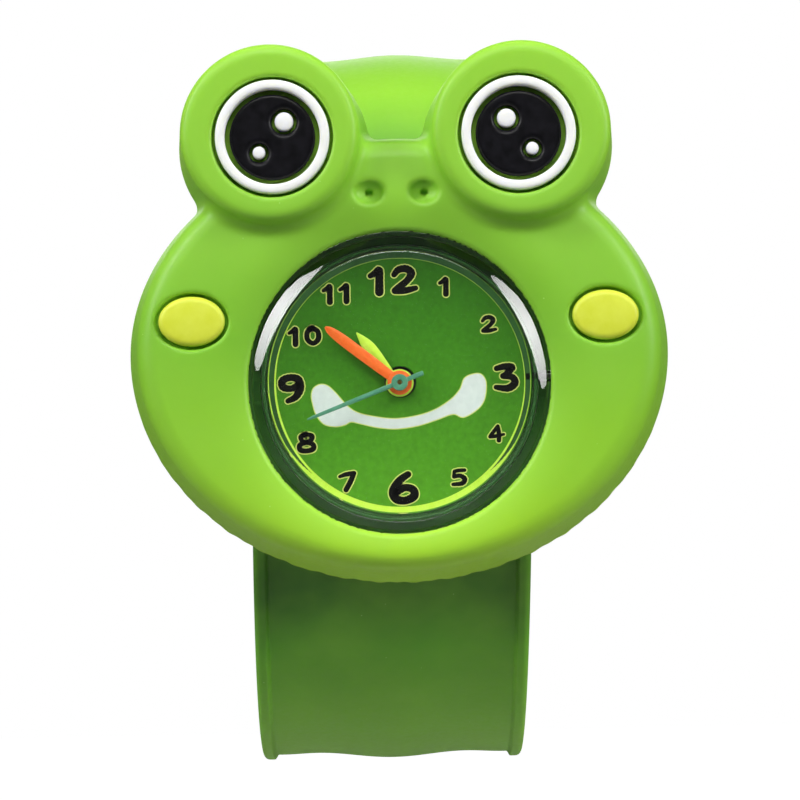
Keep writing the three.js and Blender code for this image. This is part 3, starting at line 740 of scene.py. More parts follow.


# Painted shade along the band's outer skin, darkest just under the chin and just above the head's top edge,
# and a painted highlight where the band's top faces the lamps.
SILICONE = SiliconeFinish(
    "green_silicone", (130, 193, 46), (142, 203, 56), grain_size=0.6, gloss=(0.42, 0.56), relief=0.02,
    glow=1.6, coat=0.08, shine=0.35, laid_along=True, painted_light_and_shade=(
        (0.3, (130, 193, 46)), (0.318, (128, 194, 46)), (0.351, (116, 186, 42)), (0.381, (96, 172, 34)),
        (0.408, (50, 110, 18)), (0.42, (42, 100, 15)), (0.45, (74, 136, 28)), (0.5, (110, 174, 42)),
        (0.6, (94, 156, 40)), (0.616, (94, 156, 40)), (0.634, (124, 186, 46)), (0.655, (146, 208, 52)),
        (0.7, (132, 195, 47))))
# Painted light on the head: paler towards the chin and the top, darker across the middle of the face; and
# painted shade deep in the dial's pocket.
HEAD_SILICONE = SiliconeFinish(
    "head_silicone", (138, 200, 58), (146, 206, 66), grain_size=0.6, gloss=(0.42, 0.56), relief=0.02,
    glow=1.8, coat=0.08, shine=0.35, pocket=(14.3, 45.1), painted_light_and_shade=(
        (0.0, (180, 230, 48)), (0.2, (152, 211, 46)), (0.45, (126, 191, 46)), (0.7, (142, 203, 56)),
        (1.0, (152, 212, 54))))
STRIP_STEEL = Finish("strip_steel", (176, 180, 184), (196, 199, 202), Grain.BRUSHED, 0.4, (0.25, 0.4), 0.004,
                     1.0)
WHITE_INLAY = Finish("white_inlay", (238, 240, 236), (246, 247, 244), gloss=(0.4, 0.52), glow=0.8)
BLACK_INLAY = Finish("black_inlay", (8, 8, 10), (15, 14, 20), grain_size=0.7, gloss=(0.3, 0.42), shine=0.2)
YELLOW_INLAY = Finish("yellow_inlay", (212, 222, 52), (220, 230, 72), gloss=(0.42, 0.54), glow=1.2)
CLEAR = ClearFinish("clear_plastic", (244, 249, 244), (250, 252, 250), grain_size=6, gloss=(0.0, 0.03),
                    relief=0.004)
DIAL = DialFinish("dial_print", (52, 116, 18), (68, 136, 24), grain_size=0.5, gloss=(0.38, 0.5), shine=0.15)
NUMERAL_INK = Finish("numeral_ink", (6, 5, 6), (14, 13, 12), grain_size=0.3, gloss=(0.35, 0.5), relief=0.005,
                     shine=0.1)
OUTLINE_INK = Finish("outline_ink", (206, 214, 96), (220, 226, 124), grain_size=0.3, gloss=(0.4, 0.5))
# Painted shade round the dial's edge, standing for the shaded pocket seen through the clear wall.
PAINTED_SHADE_INK = Finish("painted_shade_ink", (26, 80, 22), (36, 94, 29), grain_size=0.4, gloss=(0.4, 0.5))
WHITE_INK = Finish("smile_ink", (214, 218, 220), (226, 229, 231), grain_size=0.5, gloss=(0.4, 0.5))
LIME_PAINT = Finish("lime_paint", (205, 242, 66), (216, 248, 92), grain_size=0.4, gloss=(0.3, 0.42))
ORANGE_PAINT = Finish("orange_paint", (250, 98, 28), (254, 118, 44), grain_size=0.4, gloss=(0.3, 0.42))
TEAL_PAINT = Finish("teal_paint", (70, 132, 106), (86, 146, 120), grain_size=0.4, gloss=(0.3, 0.42))
GREY_PLASTIC = Finish("grey_plastic", (136, 140, 144), (148, 151, 155), gloss=(0.42, 0.56))
WHITE_PLASTIC = Finish("white_plastic", (226, 227, 222), (236, 236, 232), gloss=(0.4, 0.52))
BLACK_PLASTIC = Finish("black_plastic", (16, 16, 18), (26, 26, 28), grain_size=0.5, gloss=(0.32, 0.46))
BRASS = Finish("brass", (196, 156, 74), (214, 176, 96), Grain.BRUSHED, 0.3, (0.24, 0.38), 0.004, 1.0)
STEEL = Finish("plain_steel", (170, 174, 178), (192, 195, 199), Grain.BRUSHED, 0.3, (0.25, 0.4), 0.004, 1.0)
COPPER = Finish("copper_wire", (148, 72, 36), (206, 122, 74), Grain.WOUND, 0.1, (0.25, 0.4), 0.04, 1.0)
BOARD = Finish("circuit_board", (24, 92, 48), (38, 120, 66), Grain.TRACED, 1.2, (0.35, 0.5), 0.02)


class PieceList:
    """Dresses pieces, puts them on their bodies and reports them."""

    def __init__(self) -> None:
        """Starts with no piece and no material."""
        self.materials: dict[str, Material] = {}

    def dress(self, obj: Object, finish: Finish) -> Object:
        """Gives an object a finish, which is made the first time it is used.

        Args:
            obj: The object.
            finish: Its finish.

        Returns:
            The same object.
        """
        if finish.name not in self.materials:
            self.materials[finish.name] = finish.material()
        obj.data.materials.clear()
        obj.data.materials.append(self.materials[finish.name])
        return obj

    def fit(self, obj: Object, finish: Finish, slot: str, body: str | tuple[str, str] = BODY,
            nodes: Sequence[str] = (), bend: tuple[Array, Array] | None = None) -> Object:
        """Dresses a new piece and puts it on its body, or, for a piece with a bend, only bakes its place in.

        Args:
            obj: The piece, in place.
            finish: Its finish.
            slot: The record's material slot; not used.
            body: The body it rides on, or the two named for its bend, which are then only logged.
            nodes: CAD nodes that it stands for.
            bend: Start and end of the bend, in the drawing, for a piece on two bodies; only whether it is
                given is used.

        Returns:
            The piece.
        """
        self.dress(obj, finish)
        if bend is not None:
            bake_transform(obj)
        else:
            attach(obj, body)
        if nodes:
            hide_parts(*nodes)
        LOG.info("%s on %s, for %s", obj.name, body, ", ".join(nodes) or "no CAD node")
        return obj

    def carry(self, node: str, finish: Finish) -> None:
        """Dresses a CAD node that stays shown."""
        self.dress(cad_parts[node], finish)
        LOG.info("%s carried over from the CAD", node)


@dataclass
class FrogHead:
    """The moulded head with its eyes, cheeks and nostrils.

    Sizes that end in edge or fillet are roundings, and a grade turns a rough distance into a true one.
    The flash is the thin ragged line that the mould leaves at its parting; each of its waves has a count,
    a start and a share. A glint has its radius and its offsets inwards and up, the nostril's hole its
    radius, depth and taper, and the crown's room its radius and where it starts and ends.
    """

    pieces: PieceList
    width: float = 50.0
    crown: float = 20.0
    chin: float = 21.1
    rise: float = 3.1
    parting: float = 35.0
    front: float = 46.6
    draft: float = 0.068
    dome: float = 0.75
    dome_end: float = 1.2
    edge: float = 1.7
    back_edge: float = 0.3
    flash: float = 0.007
    flash_height: float = 0.25
    flash_width: float = 0.22
    flash_waves: tuple[tuple[float, float, float], ...] = ((37, 1.0, 0.28), (83, 2.3, 0.22))
    eye: tuple[float, float] = (11.33, 22.5)
    eye_radius: float = 8.0
    eye_draft: float = 0.9
    eye_front: float = 48.3
    eye_edge: float = 1.1
    eye_fillet: float = 1.3
    ring: tuple[float, float] = (11.06, 22.1)
    ring_radius: float = 5.14
    ring_width: float = 0.86
    ring_height: float = 1.6
    ring_edge: float = 0.3
    pit_play: float = 0.3
    pit_fillet: float = 0.2
    pit_edge: float = 0.3
    eye_floor: float = 46.8
    seat: float = 0.05
    pupil_radius: float = 3.85
    pupil_height: float = 1.1
    pupil_edge: float = 0.35
    pupil_pitch: float = 0.09
    glint_height: float = 0.9
    glint_play: float = 0.28
    glint_edge: float = 0.5
    glint_round: tuple[tuple[float, float], ...] = ((0.0, -0.14), (0.05, -0.04), (0.16, 0.02))
    glint_dome: tuple[float, float] = (0.05, 0.06)
    glints: dict[str, tuple[float, float, float]] = field(
        default_factory=lambda: {"large": (0.85, 1.07, 1.39), "small": (0.58, -1.22, -1.38)})
    cheek: tuple[float, float] = (18.64, 5.75)
    cheek_half: tuple[float, float] = (3.0, 2.25)
    cheek_floor: float = 45.46
    cheek_edge: float = 0.35
    cheek_swell: tuple[float, float] = (1.18, 0.16)
    cheek_round: float = 0.55
    cheek_back: float = 0.1
    cheek_room: float = 1.6
    cheek_pitch: float = 0.1
    nostril: tuple[float, float] = (2.48, 17.12)
    nostril_half: tuple[float, float, float] = (1.35, 1.05, 0.8)
    nostril_edge: float = 0.3
    nostril_grade: float = 0.9
    nostril_hole: tuple[float, float, float] = (0.32, 1.1, 0.2)
    hole_edge: float = 0.25
    lip_radius: float = 13.65
    lip_top: float = 45.75
    lip_edge: float = 0.45
    lip_overlap: float = 0.5
    dish_slope: float = 0.33
    dish_grade: float = 0.95
    dish_edge: float = 0.6
    pocket_radius: float = 14.3
    pocket_floor: float = 38.0
    lip_under: float = 45.2
    saddle_radius: float = 36.8
    saddle_half: float = 13.5
    saddle_edge: float = 0.3
    crown_room: tuple[float, float, float] = (1.8, 12.05, 16.95)
    stem_height: float = 40.5
    pod_turn: float = 2.1
    pitch: float = 0.24
    margin: float = 0.3

    def oval(self, x: Array, y: Array) -> tuple[Array, Array]:
        """Measures how far out points lie on the face.

        Args:
            x: Points across.
            y: Points up.

        Returns:
            The share of the way to the outline, and how fast that grows in a millimetre.
        """
        up = y - self.rise
        a, b = self.width / 2, np.where(up > 0, self.crown, self.chin)
        rho = np.sqrt((x / a) ** 2 + (up / b) ** 2) + TINY
        return rho, np.sqrt((x / a**2) ** 2 + (up / b**2) ** 2) / rho + TINY

    def surface(self, x: Array, y: Array) -> Array:
        """Gives the height of the face's gentle dome."""
        return self.front - self.dome * np.clip(self.oval(x, y)[0], 0, self.dome_end) ** 4

    def outside(self, p: Array) -> Array:
        """Gives the distance from the head with nothing cut out of it.

        Args:
            p: Points of the drawing.

        Returns:
            Distances, negative inside.
        """
        x, y, z = p[..., 0], p[..., 1], p[..., 2]
        rho, slope = self.oval(x, y)
        depth = np.clip((z - self.parting) / (self.front - self.parting), 0, 1)
        turn = np.arctan2(y - self.rise, x)
        rag = 0.5
        for count, phase, share in self.flash_waves:
            rag = rag + share * np.sin(count * turn + phase)
        off_line = ((z - self.parting) - self.flash_height) / self.flash_width
        line = self.flash * rag * smooth_step(-np.sin(turn)) * np.exp(-off_line**2)
        wall = (rho - (1 - self.draft * depth**1.5 + line)) / slope
        body = soft_max(wall, z - self.surface(x, y), self.edge)
        dish = self.lip_top + self.dish_slope * (np.hypot(x, y) - self.lip_radius)
        body = soft_max(body, self.dish_grade * (z - dish), self.dish_edge)
        for side in Side:
            r = np.hypot(x - side.value * self.eye[0], y - self.eye[1])
            taper = np.clip((z - self.parting) / (self.eye_front - self.parting), 0, 1)
            wall = r - (self.eye_radius + self.eye_draft * (1 - taper))
            body = soft_min(body, soft_max(wall, z - self.eye_front, self.eye_edge), self.eye_fillet)
        return soft_max(body, self.parting - z, self.back_edge)

    def shape(self, p: Array) -> Array:
        """Gives the distance from the finished head.

        Args:
            p: Points of the drawing.

        Returns:
            Distances, negative inside.
        """
        x, y, z = p[..., 0], p[..., 1], p[..., 2]
        body = self.outside(p)
        for side in Side:
            ring = np.hypot(x - side.value * self.ring[0], y - self.ring[1])
            pit = soft_max(ring - self.ring_radius - self.pit_play, self.eye_floor - z, self.pit_fillet)
            body = soft_max(body, -pit, self.pit_edge)
            oval = oval_distance(x - side.value * self.cheek[0], y - self.cheek[1],
                                 self.cheek_half[0] + self.pit_play, self.cheek_half[1] + self.pit_play)
            pit = soft_max(oval, self.cheek_floor - z, self.pit_fillet)
            body = soft_max(body, -pit, self.cheek_edge)
            dx, dy = x - side.value * self.nostril[0], y - self.nostril[1]
            dz = z - self.surface(x, y)
            a, b, c = self.nostril_half
            dimple = (np.sqrt((dx / a) ** 2 + (dy / b) ** 2 + (dz / c) ** 2) - 1) * self.nostril_grade
            bore, deep, taper = self.nostril_hole
            above, under = np.maximum(dz + deep, 0) * taper, np.minimum(dz + deep, 0)
            hole = np.sqrt(dx**2 + dy**2 + above**2 + under**2) - bore
            body = soft_max(soft_max(body, -dimple, self.nostril_edge), -hole, self.hole_edge)
        radius = np.hypot(x, y)
        window = np.maximum(radius - self.lip_radius, self.lip_under - self.lip_overlap - z)
        pocket = np.maximum(self.pocket_floor - z, z - self.lip_under)
        pocket = np.maximum(radius - self.pocket_radius, pocket)
        body = soft_max(body, -np.minimum(window, pocket), self.lip_edge)
        turn = math.radians(self.pod_turn)
        along = x * math.cos(turn) + y * math.sin(turn)
        across = np.hypot(y * math.cos(turn) - x * math.sin(turn), z - self.stem_height)
        bore, start, end = self.crown_room
        body = np.maximum(body, -np.maximum(across - bore, np.maximum(start - along, along - end)))
        saddle = np.maximum(np.hypot(y, z) - self.saddle_radius, np.abs(x) - self.saddle_half)
        return soft_max(body, -saddle, self.saddle_edge)

    def shell(self) -> Object:
        """Skins the moulded head.

        Returns:
            The head.
        """
        room, thick = 0.8, 0.6
        low = (-self.width / 2 - room, self.rise - self.chin - room, self.parting - thick)
        top = self.eye[1] + self.eye_radius + self.eye_draft + room
        high = (-low[0], top, self.eye_front + thick)
        return mesh_object("frog_head", *skin(self.shape, low, high, self.pitch))

    def eye_pieces(self, side: Side) -> None:
        """Builds the white ring, the pupil and its two glints.

        Args:
            side: Which eye.
        """
        word = side.name.lower()
        centre = (side.value * self.ring[0], self.ring[1])
        floor = self.eye_floor + self.seat
        outer, inner = self.ring_radius, self.ring_radius - self.ring_width
        front = floor + self.ring_height
        square = [(inner, floor), (outer, floor), (outer, front), (inner, front)]
        ring = lathe(f"{word}_white_ring", rounded(square, self.ring_edge), centre)
        self.pieces.fit(ring, WHITE_INLAY, "white_inlay", nodes=[f"{word}_eye_ring"])
        spots = [(centre[0] - side.value * inward, centre[1] + up, r)
                 for r, inward, up in self.glints.values()]

        def disc(p: Array) -> Array:
            """Gives the distance from the pupil, with room for its glints.

            Args:
                p: Points of the drawing.

            Returns:
                Distances, negative inside.
            """
            out = np.hypot(p[..., 0] - centre[0], p[..., 1] - centre[1]) - self.pupil_radius
            flat = np.abs(p[..., 2] - floor - self.pupil_height / 2) - self.pupil_height / 2
            body = soft_max(out, flat, self.pupil_edge)
            for sx, sy, r in spots:
                clear = r + self.glint_play - np.hypot(p[..., 0] - sx, p[..., 1] - sy)
                body = soft_max(body, clear, self.glint_edge)
            return body

        reach = self.pupil_radius + self.margin
        low = (centre[0] - reach, centre[1] - reach, floor - self.margin)
        high = (centre[0] + reach, centre[1] + reach, floor + self.pupil_height + self.margin)
        pupil = mesh_object(f"{word}_black_pupil", *skin(disc, low, high, self.pupil_pitch))
        self.pieces.fit(pupil, BLACK_INLAY, "black_inlay", nodes=[f"{word}_pupil"])
        top = floor + self.glint_height
        shoulder, crown = self.glint_dome
        for size, (sx, sy, r) in zip(self.glints, spots):
            edge = [(r - inset, top + rise) for inset, rise in self.glint_round]
            profile = [(0, floor), (r, floor), *edge, (r * 0.5, top + shoulder), (0, top + crown)]
            dot = lathe(f"{word}_white_dot_{size}", profile, (sx, sy), 40)
            self.pieces.fit(dot, WHITE_INLAY, "white_inlay", nodes=[f"{word}_glint_{size}"])

    def cheek_piece(self, side: Side) -> None:
        """Builds a cushioned cheek in its pit.

        Args:
            side: Which cheek.
        """
        word = side.name.lower()
        cx, cy = side.value * self.cheek[0], self.cheek[1]
        a, b = self.cheek_half
        floor = self.cheek_floor + self.seat

        def cushion(p: Array) -> Array:
            """Gives the distance from a cheek with a gently rounded front.

            Args:
                p: Points of the drawing.

            Returns:
                Distances, negative inside.
            """
            dx, dy = p[..., 0] - cx, p[..., 1] - cy
            middle, fall = self.cheek_swell
            swell = middle - fall * ((dx / a) ** 2 + (dy / b) ** 2)
            body = soft_max(oval_distance(dx, dy, a, b), p[..., 2] - floor - swell, self.cheek_round)
            return soft_max(body, floor - p[..., 2], self.cheek_back)

        gap = self.margin
        low = (cx - a - gap, cy - b - gap, floor - gap)
        high = (cx + a + gap, cy + b + gap, floor + self.cheek_room)
        piece = mesh_object(f"{word}_yellow_cheek", *skin(cushion, low, high, self.cheek_pitch))
        self.pieces.fit(piece, YELLOW_INLAY, "yellow_inlay", nodes=[f"{word}_cheek"])

    def build(self) -> None:
        """Builds the head and its inlays."""
        self.pieces.fit(self.shell(), HEAD_SILICONE, "silicone", nodes=["head_shell"])
        for side in Side:
            self.eye_pieces(side)
            self.cheek_piece(side)


@dataclass
class SlapBand:
    """The curled band and the spring strip inside it, in lengths that bend into each other.

    The band sits a little askew in the head, by the lean in degrees. Its section has a bead along each
    edge, a panel that rises a little towards the beads, and a raised middle between the valleys.
    """

    pieces: PieceList
    loop_radius: float = 33.6
    width: float = 26.1
    thickness: float = 2.45
    panel: float = 1.85
    crown_rise: float = 0.55
    lean: float = 1.1
    valley: float = 7.6
    bead_width: float = 1.5
    bead_slope: float = 0.45
    panel_rise: float = 0.12
    panel_slope: float = 3.5
    edge_round: float = 0.55
    edge_band: float = 2.2
    centre_half: float = 20.0
    links: int = 8
    link_angle: float = 19.6
    first_bend: float = 15.0
    tip_corner: float = 7.0
    tip_round: float = 1.0
    tip_steps: int = 40
    tip_ease: float = 2.2
    tip_least: float = 0.08
    tip_most: float = 0.96
    strip_width: float = 18.0
    strip_heights: tuple[float, float] = (0.85, 1.15)
    strip_start: float = 1.0
    strip_edge: float = 0.12
    steps: int = 16

    @property
    def outer(self) -> float:
        """Radius of the outer skin, where the band bends."""
        return self.loop_radius + self.thickness

    @property
    def tip_angle(self) -> float:
        """Angle of the band's tip from the front."""
        return self.centre_half + self.links * self.link_angle

    def middle(self, number: int) -> float:
        """Gives the angle of the middle of a length, or where the first bend starts for 0."""
        return self.centre_half + (number - 0.5) * self.link_angle if number else self.first_bend

    def outside_height(self, x: Array) -> Array:
        """Gives the height of the outer skin over the wrist side, across the band.

        Args:
            x: Places across the band, from its middle.

        Returns:
            The heights.
        """
        across = np.abs(x)
        crown = self.crown_rise * (0.5 + 0.5 * np.cos(np.pi * np.clip(across / self.valley, 0, 1)))
        start = self.width / 2 - self.bead_width
        bead = (self.thickness - self.panel) * smooth_step((across - start) / self.bead_slope)
        slope = self.panel_rise * smooth_step((across - self.valley) / self.panel_slope)
        return self.panel + np.maximum(np.maximum(crown, slope), bead)

    def section(self) -> Array:
        """Draws the band's closed section.

        Returns:
            [across, height] points.
        """
        half, r, band = self.width / 2, self.edge_round, self.edge_band
        top_x = np.concatenate([np.linspace(half - r, half - band, 16)[:-1],
                                np.linspace(half - band, -half + band, 44),
                                np.linspace(-half + band, -half + r, 16)[1:]])
        top = np.stack([top_x, self.outside_height(top_x)], 1)
        turn = np.linspace(0, np.pi / 2, 6)
        upper = np.stack([half - r + r * np.cos(turn), self.thickness - r + r * np.sin(turn)], 1)[:-1]
        lower = np.stack([half - r + r * np.sin(turn), r - r * np.cos(turn)], 1)
        right = np.concatenate([lower, upper])
        left = (right * [-1, 1])[::-1]
        floor = np.stack([np.linspace(-half + r, half - r, 16)[1:-1], np.zeros(14)], 1)
        return np.concatenate([right, top, left, floor])

    def strip_section(self) -> Array:
        """Draws the spring strip's section.

        Returns:
            [across, height] points.
        """
        half, (low, high) = self.strip_width / 2, self.strip_heights
        corners = [(-half, low), (half, low), (half, high), (-half, high)]
        return np.asarray(rounded(corners, self.strip_edge, 3))

    def ring(self, section: Array, degrees: float, arm: Arm, narrow: float = 1.0, thin: float = 1.0) -> Array:
        """Places a section at an angle round the wrist.

        Args:
            section: [across, height] points.
            degrees: Angle from the front.
            arm: Which arm it is on.
            narrow: Share of the width.
            thin: Share of the thickness, kept about its middle.

        Returns:
            Points of the drawing.
        """
        middle = self.panel / 2
        r = self.loop_radius + middle + (section[:, 1] - middle) * thin
        a = math.radians(degrees)
        y = arm.value * r * math.sin(a)
        x = section[:, 0] * narrow - math.tan(math.radians(self.lean)) * (self.outer - y)
        return np.stack([x, y, r * math.cos(a)], 1)

    def length(self, name: str, section: Array, angles: Sequence[float], arm: Arm,
               shares: Sequence[tuple[float, float]] | None = None) -> Object:
        """Sweeps a section round the wrist.

        Args:
            name: Name of the piece.
            section: [across, height] points.
            angles: Where the section stands, in order from the front.
            arm: Which arm it is on.
            shares: Width and thickness at each angle, where they change. The last end is then closed.

        Returns:
            The object, with normals that run on into the next length.
        """
        sizes = shares or [(1.0, 1.0)] * len(angles)
        rings = [self.ring(section, a, arm, *s) for a, s in zip(angles, sizes)]
        n = len(section)
        faces = []
        for k in range(len(rings) - 1):
            for i in range(n):
                j = (i + 1) % n
                quad = [k * n + i, k * n + j, (k + 1) * n + j, (k + 1) * n + i]
                faces.append(quad if arm is Arm.LOWER else quad[::-1])
        if shares:
            last = [(len(rings) - 1) * n + i for i in range(n)]
            faces.append(last if arm is Arm.LOWER else last[::-1])
        obj = mesh_object(name, np.concatenate(rings), faces)
        self.lay_along(obj, section, angles, arm)
        if not shares:
            ahead = np.roll(section, -1, 0) - np.roll(section, 1, 0)
            flat = np.stack([ahead[:, 1], -ahead[:, 0]], 1)
            flat /= np.linalg.norm(flat, axis=1)[:, None]
            normals = [np.stack([flat[:, 0], arm.value * flat[:, 1] * math.sin(math.radians(a)),
                                 flat[:, 1] * math.cos(math.radians(a))], 1) for a in angles]
            turned_normals = to_frame(np.concatenate(normals)) / MM
            obj.data.normals_split_custom_set_from_vertices(turned_normals.tolist())
        return obj

    def lay_along(self, obj: Object, section: Array, angles: Sequence[float], arm: Arm) -> None:
        """Marks each point with its place along the band and through its thickness.

        The band's painted light and shade go by these marks, which stay as they are when the band bends.

        Args:
            obj: The swept length.
            section: The section that it was swept from.
            angles: Where the section stands.
            arm: Which arm it is on.
        """
        along = np.repeat([0.5 + arm.value * a / 360 for a in angles], len(section))
        marks = np.stack([along, np.tile(section[:, 1] / self.thickness, len(angles))], 1)
        corners = np.empty(len(obj.data.loops), np.int32)
        obj.data.loops.foreach_get("vertex_index", corners)
        layer = obj.data.uv_layers.new(name=ALONG)
        layer.data.foreach_set("uv", marks[corners].astype(np.float32).ravel())

    def bend_points(self, number: int, arm: Arm) -> tuple[Array, Array]:
        """Gives where a bend starts and ends, on the outer skin."""
        skin_point = np.array([[0.0, self.thickness]])
        return tuple(self.ring(skin_point, self.middle(i), arm)[0] for i in (number - 1, number))

    def tip(self, arm: Arm) -> Object:
        """Builds the end of an arm, with round corners and a rounded edge.

        Args:
            arm: Which arm.

        Returns:
            The end.
        """
        start = self.middle(self.links)
        span = math.radians(self.tip_angle - start) * self.outer
        runs = span * (1 - (1 - np.linspace(0, 1, self.tip_steps)) ** self.tip_ease)
        angles, shares = [], []
        for run in runs:
            left = max(span - run, 0.0)
            inset, thin = 0.0, 1.0
            if left < self.tip_corner:
                inset = self.tip_corner - math.sqrt(self.tip_corner**2 - (self.tip_corner - left) ** 2)
            if left < self.tip_round:
                thin = max(math.sqrt(1 - (1 - left / self.tip_round) ** 2), self.tip_least)
            angles.append(start + math.degrees(run / self.outer))
            shares.append((1 - min(inset, self.tip_corner * self.tip_most) / (self.width / 2), thin))
        return self.length(f"{arm.name.lower()}_band_tip", self.section(), angles, arm, shares)

    def arm_pieces(self, arm: Arm) -> None:
        """Builds the bending lengths of one arm, with the strip inside them.

        Args:
            arm: Which arm.
        """
        word = arm.name.lower()
        for i in range(1, self.links + 1):
            bodies = (BODY if i == 1 else f"{word}_length_{i - 1}", f"{word}_length_{i}")
            angles = np.linspace(self.middle(i - 1), self.middle(i), self.steps + 1)
            bend = self.bend_points(i, arm)
            band = self.length(f"{word}_band_{i}", self.section(), angles, arm)
            self.pieces.fit(band, SILICONE, "silicone", bodies, [f"{word}_link_{i}"], bend)
            strip = self.length(f"{word}_strip_{i}", self.strip_section(), angles, arm)
            stands_for = [f"{word}_spring_strip"] if i == 1 else []
            self.pieces.fit(strip, STRIP_STEEL, "spring_steel", bodies, stands_for, bend)
        self.pieces.fit(self.tip(arm), SILICONE, "silicone", f"{word}_length_{self.links}",
                        [f"{word}_link_{self.links}"])
        start = self.length(f"{word}_strip_start", self.strip_section(),
                            np.linspace(self.strip_start, self.first_bend, 9), arm)
        self.pieces.fit(start, STRIP_STEEL, "spring_steel")

    def build(self) -> None:
        """Builds the band behind the head and both arms."""
        centre = self.length("band_middle", self.section(),
                             np.linspace(-self.first_bend, self.first_bend, 2 * self.steps + 1), Arm.UPPER)
        self.pieces.fit(centre, SILICONE, "silicone", nodes=["band_centre"])
        for arm in Arm:
            self.arm_pieces(arm)


STROKES: dict[str, list[list[tuple[float, float, float]]]] = {
    "0": [[(0.5, 0.93, 0.12), (0.22, 0.74, 0.13), (0.2, 0.32, 0.13), (0.5, 0.08, 0.12), (0.8, 0.3, 0.14),
           (0.8, 0.72, 0.13), (0.5, 0.93, 0.12), (0.34, 0.86, 0.12)]],
    "1": [[(0.1, 0.72, 0.09), (0.3, 0.82, 0.12), (0.46, 0.92, 0.13), (0.44, 0.5, 0.14), (0.42, 0.08, 0.15)]],
    "2": [[(0.12, 0.72, 0.1), (0.3, 0.9, 0.12), (0.6, 0.92, 0.13), (0.78, 0.74, 0.14), (0.62, 0.48, 0.12),
           (0.3, 0.24, 0.12), (0.12, 0.1, 0.12)], [(0.12, 0.1, 0.12), (0.5, 0.09, 0.12), (0.92, 0.16, 0.09)]],
    "3": [[(0.16, 0.88, 0.1), (0.5, 0.94, 0.12), (0.78, 0.88, 0.12), (0.46, 0.58, 0.11)],
          [(0.4, 0.57, 0.11), (0.76, 0.5, 0.12), (0.84, 0.26, 0.14), (0.56, 0.08, 0.13), (0.1, 0.14, 0.09)]],
    "4": [[(0.62, 0.94, 0.11), (0.34, 0.62, 0.11), (0.1, 0.32, 0.11)],
          [(0.1, 0.32, 0.11), (0.5, 0.34, 0.11), (0.96, 0.42, 0.08)],
          [(0.62, 0.94, 0.11), (0.66, 0.5, 0.13), (0.64, 0.06, 0.13)]],
    "5": [[(0.86, 0.92, 0.1), (0.5, 0.92, 0.11), (0.24, 0.88, 0.1)], [(0.24, 0.88, 0.1), (0.2, 0.56, 0.11)],
          [(0.2, 0.56, 0.11), (0.56, 0.6, 0.12), (0.84, 0.4, 0.14), (0.68, 0.14, 0.13), (0.12, 0.1, 0.1)]],
    "6": [[(0.66, 0.94, 0.1), (0.36, 0.74, 0.12), (0.14, 0.4, 0.14), (0.22, 0.14, 0.13), (0.52, 0.07, 0.12),
           (0.82, 0.2, 0.13), (0.8, 0.42, 0.12), (0.54, 0.5, 0.11), (0.24, 0.36, 0.11)]],
    "7": [[(0.08, 0.78, 0.08), (0.4, 0.88, 0.11), (0.84, 0.92, 0.12)],
          [(0.84, 0.92, 0.12), (0.64, 0.5, 0.13), (0.38, 0.07, 0.13)]],
    "8": [[(0.5, 0.95, 0.1), (0.22, 0.84, 0.12), (0.28, 0.62, 0.11), (0.5, 0.53, 0.11), (0.78, 0.66, 0.11),
           (0.8, 0.86, 0.12), (0.5, 0.95, 0.1), (0.36, 0.91, 0.11)],
          [(0.5, 0.53, 0.11), (0.14, 0.4, 0.12), (0.16, 0.14, 0.13), (0.5, 0.07, 0.12), (0.84, 0.16, 0.13),
           (0.84, 0.4, 0.12), (0.5, 0.53, 0.11)]],
    "9": [[(0.78, 0.66, 0.11), (0.5, 0.52, 0.11), (0.2, 0.6, 0.13), (0.2, 0.84, 0.13), (0.5, 0.94, 0.12),
           (0.8, 0.84, 0.13), (0.84, 0.5, 0.14), (0.66, 0.2, 0.12), (0.36, 0.06, 0.09)]],
}


